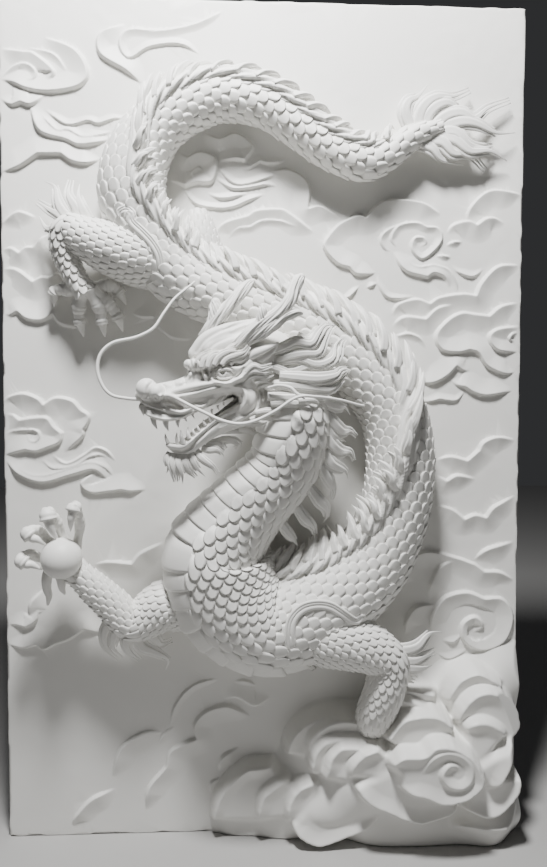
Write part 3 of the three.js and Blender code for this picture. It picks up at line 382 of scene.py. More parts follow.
# Fine streams of mist and inner curls
STREAM_ARCS = [
    [5.4, 150.2, 10.3, 149.1, 12.7, 146],
    [0.4, 144.5, 2.4, 146.4, 4, 147.2, 5.7, 147.1, 7, 145.8, 6.5, 144.5, 5, 144.5, 4, 145.6],
    [7.2, 138.7, 10.5, 135.3, 12.8, 135.3, 15.4, 134.1, 18.7, 134.5, 21.4, 135.5],
    [8.5, 139, 12.5, 136.3, 16.4, 137.1, 18.4, 136.6, 21.4, 137.6, 23.7, 137.7],
    [42.1, 158.1, 36.8, 155.4, 30.2, 153.9, 24.2, 153.9, 22.4, 151.4, 24.2, 148.7, 28.2, 150.9, 33.8, 151.5,
    37.8, 149.6],
    [39.8, 126.4, 37.8, 125.7, 35.9, 127.5, 37.1, 128.9, 38.1, 127.9, 37.3, 127.2],
    [44.7, 128.8, 46.6, 128.8, 48.8, 130.2],
    [48.8, 130.2, 50.3, 129.9, 52.6, 130.1, 54.7, 131.3],
    [40.6, 129.4, 43.5, 126.1, 46.9, 126, 52.6, 128],
    [40.1, 127.1, 43.5, 125, 46.9, 125.2, 50.3, 125.8, 52.6, 125.3],
    [34, 125.3, 36.4, 122.2, 40.1, 121.3, 43.5, 121.5, 46.6, 122.8, 50.1, 124.2],
    [38.4, 124.2, 41.8, 123.1, 46.9, 124.2],
    [42.5, 115.5, 44.5, 117.5, 46.9, 117.9],
    [46.9, 117.9, 49.3, 119.1, 52.6, 119.1, 55.1, 118.3, 57.8, 117.7],
    [74.6, 113.4, 72.9, 114.1, 72, 115.8, 73.2, 117.5, 76.6, 119.1],
    [75.5, 114.2, 74.1, 116, 75.6, 118.5, 79, 119.1, 81.1, 118.3],
    [81.1, 118.3, 83.2, 118.1, 84.1, 116.1, 82.5, 113.7, 80.1, 112.2, 78.2, 114, 78.6, 116.1, 80.4, 116.3,
    81, 115.2, 79.8, 114.5],
    [82.9, 112.7, 84.1, 112.9, 86, 112.6],
    [76.5, 112.7, 79.1, 110.8, 82.6, 111.1],
    [82.6, 111.1, 85.4, 110.2, 87, 107.7, 87.2, 105.7],
    [86.2, 111.1, 87.4, 109.7, 90.2, 108.9, 92.5, 110.5],
    [71.9, 109.9, 71.6, 107.9, 73, 105.2, 75.4, 104.5, 79.2, 105.1],
    [68.3, 107.2, 66.1, 104.8, 64, 104.5],
    [69.2, 106.5, 70.5, 106.9, 71.6, 107.6],
    [85, 114.8, 86.3, 115.5, 88.1, 115.6],
    [99.5, 98.3, 98.1, 97.9, 97.6, 96.9, 98.8, 96.2],
    [74.6, 97.1, 77.5, 97.9, 80, 97, 81.2, 95.1],
    [79.4, 84.9, 81.8, 84.7, 83.9, 85.2],
    [83.9, 85.2, 87.1, 84.9, 88.6, 86.3, 89, 87.1],
    [0.3, 78.2, 1.8, 79.1, 4.5, 79.3, 6.3, 79.1, 6.9, 78.1, 6.1, 76.9, 4.9, 77.1, 4.6, 78.1, 5.6, 78.8],
    [1.9, 73.5, 4, 71.1, 7.4, 70.4, 12.8, 71.9, 16.2, 72.9, 18.9, 72.1, 20.9, 70],
    [7.1, 73.5, 9.4, 71.8, 13.4, 72.4, 16.2, 74, 18.5, 74.3, 19.9, 73.5],
    [9.1, 74.5, 11.8, 72.9, 15.1, 74.5, 17.2, 75.9, 19.5, 75.2, 21.4, 72.8],
    [85, 37.6, 87.2, 37.2, 89, 38.6],
    [83.9, 35.1, 86.5, 33.9, 90.3, 35.7],
    [28.8, 17.6, 29.9, 19.6, 32.2, 21.2],
    [31.3, 21.4, 32.4, 25.7, 36, 29.5, 41, 30.7],
    [43.8, 29.9, 46, 30.2, 48.1, 29.1],
    [39, 7.7, 39.3, 9.9, 41.3, 10.8],
]

# The bank's lobes: across, up, half width, half height, reach from the face
BANK_LOBES = [
    [48, 4.1, 8.7, 9.8, 3.3], [54.1, 5.2, 5.9, 7, 5.7], [62.9, 14.9, 9.2, 10.4, 6.1],
    [66.2, 13.3, 6.4, 8.2, 10.2], [67.5, 11.9, 6.4, 7.4, 11.5], [78, 25.2, 5.5, 5.5, 7.4],
    [88.8, 27, 6.2, 6.2, 7.2], [91.7, 23.5, 6.4, 6.8, 8], [96.9, 30.4, 4, 7.2, 4.5],
    [78.7, 18.1, 7.4, 8.5, 11.5], [90.9, 20, 4.6, 5.3, 12.3], [81.3, 16.7, 7.6, 6.2, 14.8],
    [76.8, 13.1, 10.8, 6.6, 13.5], [89.8, 14.6, 7.7, 7.7, 11.5], [92.6, 4.1, 8.1, 5.3, 11],
    [61.8, 6.7, 9, 6.1, 9.8], [79, 2.7, 16.3, 6.1, 9], [71, 17.3, 7, 6.6, 9.6],
]

# Petals of the bank: level, centre across and up, then the rim across and up
BANK_PETALS = [
    [3.9, 59.4, 3.1, 39.2, 2.9, 39.8, 6.2, 40.7, 8.9, 42.8, 11.8, 46.3, 14.6, 49.7, 14.7, 51.9, 15.5],
    [5.4, 61.2, 5.9, 48, 3.5, 48.4, 7.4, 49.3, 9.9, 52.6, 12.4, 54.8, 12.9],
    [6.9, 72.4, 9, 53.6, 4.3, 54, 8.9, 55.7, 11.8, 58.1, 12.8, 60.4, 13.2],
    [4.9, 68, 14.3, 53.7, 16.1, 54.1, 19.8, 55.8, 22.3, 58.7, 24.2, 62.1, 25.3, 66.7, 25.2],
    [6.6, 70.6, 12.2, 57.6, 17.3, 58, 20.9, 59.6, 23, 62.3, 24.5, 66.5, 24.8, 69.9, 24.3, 72.6, 22.3],
    [7.9, 70.3, 13.9, 58.8, 13.6, 58.2, 16.1, 58.6, 18.7, 60.1, 20.8, 62.9, 21.8, 67.6, 21.7, 70.1, 21.5,
    72.3, 20.1],
    [9.3, 73.2, 12.7, 60.3, 13.4, 61, 16.4, 61.6, 18.8, 63.4, 20.7, 65.7, 21, 68.7, 20.6, 71.8, 19.9],
    [7.4, 62.8, 11.5, 54.3, 5.9, 55.5, 3.2, 57.6, 1.4, 59.7, 0.6, 62.3, 1.1, 65.5, 2.5, 68.9, 4.2, 71.4,
    6.8],
    [10.7, 80, 14.2, 65.3, 14.6, 65.3, 17.4, 66.6, 19.4, 69, 21, 71.6, 21.5],
    [10.7, 81.9, 14.2, 71.6, 21.5, 71.9, 23, 73.2, 25, 75.2, 26.7, 78.4, 27.3, 81.7, 27.1, 84.2, 25.4, 85.7,
    23.3],
    [10.2, 87.7, 14.7, 85.9, 23, 87.5, 24.9, 89.8, 25.6, 91.8, 25.2, 93.9, 23.8, 95.5, 21.7],
    [6.9, 79.1, 18.9, 72.7, 27.5, 74, 30.1, 76.5, 30.9, 79.3, 30.4, 81.8, 29.6, 83.4, 28.4],
    [6.9, 91.6, 20.6, 84, 26.9, 84.3, 29, 85.6, 31.5, 87.7, 33.1, 90.4, 33.7, 93.3, 32.3, 96.3, 30.1],
    [8.2, 78.7, 20.5, 72.8, 26.2, 73.1, 28.4, 75.2, 29.3, 77.9, 28.7, 80.3, 27.1, 81.7, 25.2],
    [8.9, 91.9, 16.7, 85.7, 23.5, 85.8, 26.4, 87.5, 29, 89.8, 30.5, 92.6, 30.6, 95.5, 29.2, 97.3, 27.1,
    98.6, 24.8, 99.1, 21.4],
    [11, 87.4, 17, 90.4, 12.8, 93.2, 13.7, 95.3, 16.5, 96.1, 19.8, 96.1, 22.1],
    [11.1, 78, 19.2, 65.6, 14.8, 67.1, 12.4, 69.5, 10.2, 72.3, 9, 74.7, 7.7, 78.1, 6.8, 80.9, 7.3, 84.2,
    8.2, 86.6, 10],
    [10, 88.7, 14.6, 97.9, 15.9, 97.8, 12.1, 95.9, 9.3, 93.9, 7.6, 91.6, 6.9, 88.8, 7.7, 85.7, 8.8],
    [13.5, 73.2, 16.3, 72.1, 17.6, 72.6, 20, 74.6, 21.2, 78, 21.3, 80, 22.8, 82.6, 22.9, 85.3, 22.1, 87.4,
    20.4, 88.9, 18, 89.5, 15, 86.8, 12.5, 84.6, 11.8, 81.8, 11.5, 78.5, 12.9, 76.1, 13.5, 73.4, 15],
    [9.2, 93.9, 1.5, 84.9, 3.7, 87, 5.2, 91.9, 4.5, 96.3, 4.9, 99.9, 7.3],
]

# The curl at the bank's middle
BANK_CURL = [
    78, 17.3, 79.5, 20.2, 82, 21.4, 84.9, 20.8, 86.8, 18.9, 86.8, 16.3, 85, 14.9, 82.6, 15.5, 81.5, 17.4,
    82.6, 19, 84.2, 18.8, 84.8, 17.5,
]

# The body from tail to head: across, up, out, radius in squares, and the angle of its crest
BODY = [
    [83, 136.3, 3.1, 0.9, 45], [77.5, 134.2, 3.1, 2, 45], [72.4, 130.6, 3.1, 2.6, 50],
    [68.1, 129.4, 3.1, 3.3, 52], [62, 131.3, 3.3, 3.3, 52], [55.4, 135.5, 3.4, 3.4, 52],
    [49.1, 139.1, 3.6, 3.6, 52], [40.2, 140.1, 3.8, 4.1, 50], [31.1, 135.8, 4.1, 4.8, 28],
    [26.4, 129.3, 4.5, 5.6, -8], [25.3, 121.8, 4.8, 5.9, -20], [28.5, 114.2, 4.5, 5.7, -42],
    [33.5, 107.9, 4.1, 5.5, -60], [42.4, 103.5, 3.8, 5.6, -56], [54.4, 99, 3.7, 5.7, -52],
    [64.7, 93.4, 4.1, 5.9, -45], [71.9, 85.9, 4.6, 6, -34], [74.6, 79.3, 4.9, 6.1, -6],
    [75.2, 70.9, 4.9, 6.2, 18], [73.6, 62.3, 4.8, 6.4, 38], [69.3, 54.1, 4.6, 7.5, 56],
    [61.6, 47.8, 4.9, 8.8, 62], [51, 43.2, 5.2, 9.7, 84], [43.5, 47.6, 5.6, 10.4, 85],
    [40.7, 55.7, 6.2, 10, 90], [42, 60.1, 6.9, 8.6, 92], [46.1, 65.4, 8, 7.1, 95],
    [52.2, 72.3, 9.3, 6.3, 98], [54, 77.2, 10.3, 6.4, 100], [54.9, 81.6, 10.5, 6.1, 100],
    [55.3, 85.4, 10, 5.2, 100], [55.2, 88.6, 9.3, 3.8, 100], [55.1, 90.6, 8.8, 2, 100],
]

# Where the crest starts and ends, as shares of the body's length from the tail
CREST_SPAN = (0.045, 0.775)

# Hind leg, far thigh, arm and front leg
LIMBS = [
    [[29.9, 110.3, 4.1, 5.1], [26, 111.1, 5.4, 5.2], [21.5, 112.3, 6.2, 4.6], [17.2, 114, 6.2, 3.5],
    [13.9, 115.3, 5.7, 2.7], [13, 112.7, 5.4, 2.3], [14, 109.2, 5.2, 2], [15.6, 106.1, 5.1, 1.8],
    [17, 104.2, 4.8, 2.1]],
    [[38.4, 110.7, 2.5, 3.8], [37.7, 114.7, 2.8, 3.2], [37.3, 118.1, 2.5, 2.3], [37.1, 120, 2, 1.5]],
    [[35.6, 47.1, 4.9, 5], [30.8, 46.6, 5.4, 4.5], [27.1, 44.6, 6.1, 3.7], [24.6, 44.2, 6.6, 3.2],
    [21.5, 47.5, 7, 2.9], [18.3, 50.7, 7.5, 2.6], [15.7, 53.3, 7.9, 2.2], [13.5, 54.8, 7.5, 2.7]],
    [[56.1, 42.3, 7.4, 4.8], [60.7, 41.8, 8.2, 5.6], [65.3, 40.7, 8.9, 5.1], [69.5, 39, 9.2, 4.2],
    [72.3, 36.4, 9.2, 3.5], [71.8, 31.8, 9, 3.4], [70.5, 27, 7.7, 3.3], [70.1, 24, 5.5, 2.9],
    [69.6, 21, 2.8, 2.3]],
]

# Toes of the hind foot, running out into talons
TOES = [
    [[16.5, 104.9, 5.1, 1.35], [15.4, 102.1, 4.2, 1.25], [15.3, 99.6, 3.3, 1.1], [15.8, 96.6, 2.5, 0.6]],
    [[17.6, 105, 5.4, 1.35], [19.1, 101.9, 4.5, 1.25], [19.4, 99.6, 3.7, 1.1], [19.8, 96.6, 2.8, 0.6]],
    [[17.9, 104.9, 5.1, 1.35], [20.6, 102.7, 4.1, 1.25], [22.3, 100.1, 3.1, 1.1], [23, 97.6, 2.1, 0.6]],
    [[16.4, 104.8, 4.6, 1.35], [12.4, 105.2, 3.9, 1.25], [10.8, 104.6, 3.2, 1.1], [10.4, 102.1, 2.5, 0.6]],
    [[17.4, 105.2, 4.4, 1.35], [20.9, 105.9, 3.6, 1.25], [22.4, 105, 2.7, 1.1], [23.7, 102.7, 1.8, 0.6]],
]

# Fingers curled over the pearl
FINGERS = [
    [[13.2, 58.5, 7, 0.9], [12.5, 61.5, 8.2, 0.9], [11.8, 63.9, 9.7, 1], [11, 65.3, 10.8, 1.2],
    [11.4, 63.3, 11.3, 1.2], [11.8, 62, 11.1, 0.5], [12.5, 60.1, 10.5, 0.1]],
    [[15, 57.9, 7, 0.9], [15.9, 61.4, 8, 0.9], [16.2, 64.4, 9.5, 0.9], [15.7, 65.9, 10.8, 1.1],
    [15.3, 64.3, 11.3, 1], [15.1, 63.2, 11.1, 0.5], [14.9, 61.5, 10.5, 0.1]],
    [[11.4, 58.3, 7, 0.9], [9.8, 60.2, 8.2, 0.9], [8.7, 61.8, 9.8, 1], [7.6, 61.5, 11, 1.2],
    [8.5, 60.6, 11.3, 1], [9.4, 60.3, 11.3, 0.5], [10.7, 59.2, 11, 0.1]],
    [[10.7, 55.4, 7, 0.9], [8.8, 56.4, 8.2, 0.9], [7.6, 57.5, 9.8, 0.9], [6.3, 56.9, 11, 1.2],
    [7.4, 56, 11.3, 1], [8.3, 55.9, 11.3, 0.5], [10, 54.9, 11, 0.1]],
]

# The palm and the two flaps of its heel
PALM_FORMS = [
    [[15.5, 53.7, 7.7, 2.2], [13.3, 55.8, 7.4, 2.7], [11.8, 57.6, 7, 2.2], [10.9, 58.2, 6.6, 1.3]],
    [[10.7, 55, 8.6, 0.9], [10.3, 53, 9.2, 0.94], [10.1, 51, 8.6, 0.79], [10.3, 49.4, 8, 0.61],
    [9.9, 47.6, 7.4, 0.22]],
    [[12.2, 54.3, 8.8, 0.9], [12.8, 52.6, 9.2, 0.83], [12.8, 51, 8.6, 0.61], [13.1, 49.7, 7.8, 0.22]],
]

# Bands round the thighs
THIGH_BANDS = [
    [[24.4, 116.7, 9.86, 0.29], [24.3, 117.4, 10.05, 0.43], [25.1, 117.6, 10.26, 0.5],
    [25.7, 117.1, 10.33, 0.5], [25.5, 116.3, 10.24, 0.47], [26.1, 115.3, 10.21, 0.47],
    [27.6, 113.9, 10.23, 0.47], [29.2, 112.2, 10.14, 0.47], [30.3, 110.3, 9.92, 0.47],
    [30.5, 108.5, 9.44, 0.43], [29.7, 107.1, 8.53, 0.4], [28, 106.1, 7.21, 0.29]],
    [[59.7, 32.4, 0.15, 0.29], [56.7, 37.8, 11.14, 0.43], [55, 40.8, 13.72, 0.52], [54.2, 43.7, 14.5, 0.56],
    [54.5, 46.3, 14.47, 0.56], [56.1, 48, 14.16, 0.56], [58.4, 48.6, 13.97, 0.54],
    [60.7, 48.3, 13.87, 0.52], [62.8, 47, 13.61, 0.49], [64.6, 45.7, 12.98, 0.45], [66.2, 45.2, 12.31, 0.4],
    [67.3, 46.5, 12.05, 0.31], [68, 47.9, 12.12, 0.18]],
]

# Strands of the crest's rope, its twist in radians a metre, and its size along the body
ROPE_STRANDS = 5
ROPE_TWIST = 123
CREST_SHARES = (0.0, 0.1, 0.25, 0.31, 0.38, 0.5, 0.58, 0.63, 0.68, 0.8)
CREST_SIZES = (0.6, 0.8, 0.95, 0.8, 1.0, 1.15, 1.1, 0.85, 1.1, 1.2)
# A group of crest tips in millimetres: way to the side at the root, length, radius and rise
CREST_TIPS = ((0, 60, 13, 12), (-9, 46, 10, 17), (10, 42, 9, 5))

# The pearl: across, up, out and radius in squares
PEARL = [13.1, 56.7, 10, 3.65]

# Locks down the back of the neck
NECK_LOCKS = [
    [[59.3, 85.1, 13.6, 0.81], [60.9, 84.2, 13.2, 0.97], [62.6, 83.6, 12.4, 0.74], [63.7, 83.5, 11.8, 0.43],
    [64.6, 82.3, 11.2, 0.08]],
    [[59.8, 83, 12.8, 0.89], [61.5, 80.7, 12.4, 1.12], [63.3, 79.3, 11.6, 0.89], [64.8, 79.4, 10.8, 0.43],
    [66, 78.4, 10.2, 0.08]],
    [[60.1, 80.7, 12.6, 0.74], [61.4, 78.6, 12.2, 0.89], [62.8, 78, 11.4, 0.58], [64, 77.5, 10.6, 0.08]],
    [[60, 79.4, 12.4, 0.89], [61.3, 77, 12, 1.12], [63.1, 75.7, 11.2, 0.89], [64.8, 75.6, 10.6, 0.43],
    [65.6, 74, 10, 0.08]],
    [[60, 76, 12, 0.89], [61.2, 73.7, 11.6, 1.04], [62.9, 72.7, 10.8, 0.81], [64.1, 72.1, 10.2, 0.43],
    [64.6, 70.6, 9.6, 0.08]],
    [[59.4, 73.4, 11.6, 0.81], [60.6, 71.1, 11.2, 0.97], [61.4, 69.7, 10.6, 0.66], [61.9, 68.6, 10, 0.36],
    [61.7, 67, 9.4, 0.08]],
    [[57.3, 69.6, 11, 0.81], [59.2, 66.9, 10.6, 0.97], [60.4, 65.5, 10, 0.74], [60.7, 63.8, 9.4, 0.36],
    [60.2, 62.6, 9, 0.08]],
    [[55, 65.9, 10.5, 0.81], [56.8, 63.4, 10, 0.89], [58.1, 62.1, 9.4, 0.58], [58.7, 60.5, 8.6, 0.08]],
    [[52.1, 63.2, 10, 0.81], [53.8, 60.7, 9.5, 0.81], [54.9, 59.4, 9, 0.48], [55.7, 57.9, 8.2, 0.08]],
]

# Rounded forms that make the head: share of depth, then stations
HEAD_FORMS = [
    [0.9, [[28.1, 85.7, 14.6, 1.14], [29.9, 85.6, 14.8, 1.91], [31.9, 85.5, 14.8, 2.34],
    [34.4, 85.8, 14.6, 2.54], [36.9, 86.5, 14.3, 2.84], [39.7, 87.8, 13.9, 3.43], [42.2, 89.6, 13.2, 5.21],
    [44.7, 91, 12.4, 6.1], [47.6, 92.1, 11.6, 6.1], [50.5, 92.3, 10.7, 5.21], [53.4, 91.9, 9.6, 3.81]]],
    [0.85, [[55.7, 85.6, 9.6, 4.83], [54.5, 87.4, 9.2, 5.08], [52.1, 89.3, 9.6, 4.95],
    [48.9, 90.2, 10.8, 4.57]]],
    [1, [[29.2, 86.7, 16.1, 1.85], [29.4, 86.5, 16.2, 1.85]]],
    [1, [[30.9, 86.1, 16.9, 1.42], [31.2, 86.1, 16.8, 1.27]]],
    [0.9, [[28.5, 83.7, 15.1, 0.86], [30, 82.9, 15.6, 1.07], [32, 82.4, 15.7, 1.22],
    [34.5, 82.6, 15.6, 1.17], [36.7, 83.3, 15.4, 0.91], [38.7, 84.1, 15, 0.76], [41.2, 85, 14.8, 0.71],
    [43.5, 86.3, 14.8, 1.02]]],
    [0.8, [[32.3, 86, 15.7, 1.07], [36.3, 86.6, 15.8, 1.27], [40.3, 87.4, 16, 1.42],
    [43.7, 87.7, 15.9, 1.57], [46.5, 87.8, 15.4, 1.57]]],
    [0.8, [[46, 87, 15, 1.78], [46.3, 85, 14.8, 2.41], [45.5, 83.3, 14.2, 2.16], [43.7, 81.7, 13.8, 1.65]]],
    [0.85, [[32.7, 77.1, 14.6, 0.51], [34.1, 76.6, 14.5, 1.02], [35.9, 76.9, 14.3, 1.42],
    [37.6, 78.2, 14.1, 1.57], [39.6, 79.8, 13.8, 1.78], [42.2, 81.2, 13.4, 1.98], [44.7, 82.5, 12.8, 2.54],
    [47.8, 83.8, 12, 3.05], [50.5, 85.1, 11, 3.3]]],
    [1, [[32.5, 77.2, 15, 0.36], [33.7, 76.9, 15.5, 0.46], [35.2, 76.9, 15.7, 0.51],
    [36.5, 77.9, 15.6, 0.51], [38.2, 79.4, 15.4, 0.51], [40.2, 81, 15.1, 0.51], [42.2, 82.4, 14.8, 0.51]]],
    [0.9, [[36.2, 90.9, 16, 0.81], [37, 90.8, 16.5, 1.02], [38.3, 90.9, 16.8, 1.07], [39.8, 91.4, 17, 1.02],
    [41.5, 91.9, 17, 1.07], [43.8, 92.5, 16.8, 1.07], [46, 92.9, 16.2, 0.91]]],
    [0.7, [[37.5, 92.7, 15, 1.4], [39.5, 94.5, 15.2, 1.91], [42.2, 95.7, 15.2, 2.03],
    [45.2, 96.5, 14.8, 1.91], [48, 97.6, 14.2, 1.4]]],
    [0.7, [[40.3, 93.4, 16, 1.52], [42.8, 94.2, 16.2, 1.57], [45.5, 94.9, 16, 1.47],
    [47.5, 96, 15.4, 1.02]]],
    [0.9, [[37, 89.5, 15.6, 0.97], [38.5, 89.1, 15.8, 1.14], [39.9, 88.6, 16, 1.07]]],
]

# Folds and grooves of the head: lean, then across, up, width, height in millimetres
HEAD_STROKES = [
    [0, [[30.2, 85, 0.23, -3], [30.6, 84.4, 0.28, -5], [31.4, 84.5, 0.28, -5], [32.2, 85.2, 0.25, -5],
    [32.4, 86.2, 0.25, -4], [32.1, 87.2, 0.25, -3]]],
    [0, [[29.2, 85.2, 0.25, -5], [29.6, 85.7, 0.3, -6], [29.7, 86.9, 0.28, -5], [30.2, 87.7, 0.25, -3]]],
    [0, [[30, 85.2, 0.2, -5], [30.2, 85, 0.2, -6]]],
    [0, [[30.9, 85.2, 0.25, -8], [31.2, 85, 0.25, -8]]],
    [0, [[31.8, 85.4, 0.33, 6], [32.7, 85.7, 0.33, 7], [34, 85.2, 0.36, 7], [35.4, 84.1, 0.36, 7],
    [36.7, 83.6, 0.36, 6], [36.2, 83.1, 0.33, 5], [35, 82.8, 0.33, 5], [33.5, 83.1, 0.3, 4],
    [32.4, 83.8, 0.3, 4], [31.9, 84.7, 0.3, 4]]],
    [0, [[32.4, 84.6, 0.25, -5], [33.2, 84.7, 0.33, -7], [34.1, 84.1, 0.33, -7], [35.1, 83.5, 0.28, -5]]],
    [0, [[32.7, 84.4, 0.18, 3], [33.5, 84.1, 0.2, 4], [34.2, 83.5, 0.18, 3]]],
    [-0.4, [[28.7, 83.9, 0.23, -3], [30.1, 83.4, 0.25, -5], [31.7, 82.9, 0.25, -5], [33.6, 82.3, 0.25, -5],
    [35.1, 82.3, 0.23, -4], [36.6, 82.9, 0.2, -3]]],
    [0.3, [[28.2, 84.5, 0.3, 3], [29.7, 83.9, 0.3, 5], [31.1, 83.5, 0.3, 5], [32.4, 83.1, 0.25, 3]]],
    [0, [[28.9, 82.4, 0.3, 3], [30.6, 81.9, 0.33, 5], [32.6, 81.5, 0.33, 5], [34.8, 81.8, 0.3, 5],
    [37.1, 82.9, 0.28, 4]]],
    [0.4, [[37.3, 83.9, 0.3, 5], [38.3, 83.6, 0.38, 8], [39.3, 84, 0.38, 8], [39.8, 84.8, 0.33, 7],
    [40.7, 84.9, 0.23, 4]]],
    [0, [[37.6, 83.1, 0.23, -6], [38.8, 83.2, 0.25, -7], [39.9, 83.9, 0.25, -7], [41, 84.9, 0.23, -5],
    [42.5, 85.8, 0.23, -5]]],
    [-0.5, [[32.6, 86.1, 0.56, 2.1], [36.3, 87, 0.66, 4.2], [39.8, 87.6, 0.66, 4.9],
    [42.5, 87.8, 0.66, 4.9], [44.5, 88.3, 0.61, 4.2], [47, 88.6, 0.41, 2.1]]],
    [0.4, [[34.3, 85.3, 0.3, 2.1], [37.1, 85.7, 0.36, 3.5], [40.3, 86.5, 0.36, 3.5], [42.5, 87.2, 0.3, 2.8],
    [43.8, 87.2, 0.23, 2.1]]],
    [0, [[33.4, 85.6, 0.23, -2.1], [36.8, 86.3, 0.25, -2.8], [39.8, 87, 0.25, -2.8],
    [42, 87.4, 0.23, -2.1]]],
    [0, [[37.1, 85, 0.2, -1.4], [39.3, 85.5, 0.23, -2.1], [41.3, 86.1, 0.2, -1.4]]],
    [0, [[39.9, 88.6, 0.23, 3], [41.3, 87.8, 0.3, 5], [43, 87.7, 0.33, 6], [44.7, 88.3, 0.33, 6],
    [46, 89.3, 0.28, 4], [46.6, 90.2, 0.23, 2]]],
    [0, [[40.7, 88.4, 0.18, -3], [42.3, 87.9, 0.2, -4], [43.8, 88.3, 0.2, -4], [45, 89.3, 0.2, -4],
    [45.6, 90.2, 0.2, -3]]],
    [0, [[41.3, 87.1, 0.2, -3], [43.3, 87.1, 0.23, -4], [45, 87.6, 0.23, -4], [46.2, 88.6, 0.2, -3]]],
    [0, [[38.1, 89.7, 0.2, -5], [38.5, 89.1, 0.23, -6], [38.8, 88.3, 0.2, -4]]],
    [0, [[39.1, 89.9, 0.2, -5], [39.6, 89.1, 0.23, -6], [39.9, 88.3, 0.2, -4]]],
    [0, [[38.6, 89.7, 0.23, 4], [39, 88.9, 0.25, 5], [39.3, 88.3, 0.2, 3]]],
    [0, [[31.7, 87.6, 0.51, 3], [32.6, 87.7, 0.66, 4], [33.1, 87.5, 0.51, 2]]],
    [0, [[34.3, 87.8, 0.56, 3], [34.9, 87.9, 0.66, 5], [35.4, 87.8, 0.51, 3]]],
    [0, [[35.9, 88.6, 0.56, 4], [36.4, 88.8, 0.66, 6], [36.8, 88.6, 0.51, 3]]],
    [0, [[33.8, 88, 0.2, -3], [34, 87.2, 0.2, -3]]],
    [0, [[35.6, 88.6, 0.2, -3], [35.7, 87.6, 0.2, -4]]],
    [0, [[36.4, 92.1, 0.18, -4], [36.7, 90.9, 0.2, -7], [36.6, 89.7, 0.18, -4]]],
    [0, [[37.3, 92.1, 0.18, -4], [37.6, 90.8, 0.2, -7], [37.5, 89.5, 0.18, -4]]],
    [0, [[38.1, 92.1, 0.18, -4], [38.5, 90.8, 0.2, -7], [38.4, 89.4, 0.18, -4]]],
    [0, [[39, 92.1, 0.18, -4], [39.4, 90.9, 0.2, -7], [39.3, 89.5, 0.18, -4]]],
    [0, [[39.8, 92.1, 0.18, -3], [40.3, 91, 0.2, -5], [40.2, 90.2, 0.18, -3]]],
    [0, [[40.2, 89.7, 0.25, -5], [41.3, 90.6, 0.3, -9], [42.7, 91, 0.3, -10], [44.1, 90.8, 0.3, -9],
    [45.4, 90.9, 0.28, -6], [46.5, 91.9, 0.23, -3]]],
    [0.5, [[37.7, 92.9, 0.25, -1.4], [39.3, 94.9, 0.33, -2.7], [41.8, 96.4, 0.33, -2.7],
    [44.3, 97.3, 0.3, -2.2], [47.7, 98.3, 0.2, -1.4]]],
    [0.5, [[39.3, 92.1, 0.23, -1.4], [40.5, 93.9, 0.3, -2.7], [42.8, 95.1, 0.3, -2.7],
    [45.2, 95.9, 0.28, -2.2], [47.7, 96.9, 0.2, -1.4]]],
    [0, [[42.3, 96.9, 0.23, 1.4], [44.3, 98.1, 0.33, 2.7], [46.2, 98.9, 0.33, 2.7], [48, 99.1, 0.23, 1.4]]],
    [0, [[43.5, 96.4, 0.23, 1.4], [45.2, 97.3, 0.28, 2.2], [47, 97.9, 0.25, 1.8], [48.2, 98.6, 0.2, 0.9]]],
    [0, [[41.3, 93, 0.23, -1.4], [43.5, 93.5, 0.25, -1.8], [46, 94.4, 0.23, -1.4],
    [47.5, 95.4, 0.2, -0.9]]],
    [0, [[43.5, 87.2, 0.3, 4], [44.9, 87, 0.36, 6], [45.9, 86, 0.36, 7], [46, 84.5, 0.36, 6],
    [45.2, 83.3, 0.3, 4]]],
    [0, [[47, 88.2, 0.25, -3], [47.8, 87, 0.3, -5], [48, 85.3, 0.3, -6], [47.5, 83.5, 0.28, -5],
    [46.2, 82.3, 0.23, -3]]],
    [0, [[48, 88, 0.25, 3], [48.9, 86.8, 0.3, 5], [49.1, 85, 0.3, 5], [48.4, 83.5, 0.25, 3]]],
    [0.3, [[36.7, 77.1, 0.25, -3], [38.2, 78.6, 0.33, -6], [40.2, 80.3, 0.33, -6], [42.2, 81.6, 0.3, -5],
    [44.2, 82.6, 0.23, -3]]],
    [0, [[41.7, 80, 0.3, 3], [43.7, 81, 0.41, 6], [46, 82, 0.41, 6], [48.3, 83.3, 0.3, 4]]],
    [0, [[43.5, 80, 0.23, -3], [45.7, 81, 0.28, -5], [47.8, 82, 0.25, -4]]],
    [0, [[33.7, 76.4, 0.23, -3], [34.9, 76.1, 0.28, -4], [36.2, 76.5, 0.25, -4], [37.2, 77.2, 0.2, -2]]],
]

# Hollows of the head: depth in millimetres, width of the edge, outline
HEAD_DENTS = [
    [52, 0.51, [[39.9, 82.4], [40.8, 83.6], [42.2, 84.4], [42.9, 85.3], [43.7, 85.7], [44.7, 85.3],
    [44.9, 84.5], [43.7, 83.8], [42.5, 83.3], [41.2, 82.4], [40.5, 81.8]]],
    [6, 0.41, [[40.8, 89], [41.4, 89.8], [42.5, 90.2], [43.6, 89.9], [44.2, 89.3], [43.7, 88.5],
    [42.3, 88.3], [41.3, 88.5]]],
    [10, 0.36, [[34.8, 79.2], [36.2, 79], [38.2, 80.7], [40.2, 82.4], [41.2, 82.4], [40.2, 81.2],
    [38.2, 79.6], [36.4, 78], [35.4, 77.4], [34.8, 77.5]]],
    [9, 0.3, [[28.3, 84.2], [28.8, 83.7], [29, 82.4], [28.4, 82.2], [28, 83.2]]],
]

# The eyeball: across, up, out and radius, and the pupil's place with the iris's and its own radius
EYE = [42.4, 89.3, 16.75, 1.24]
EYE_PUPIL = [42.1, 89.4, 0.64, 0.33]

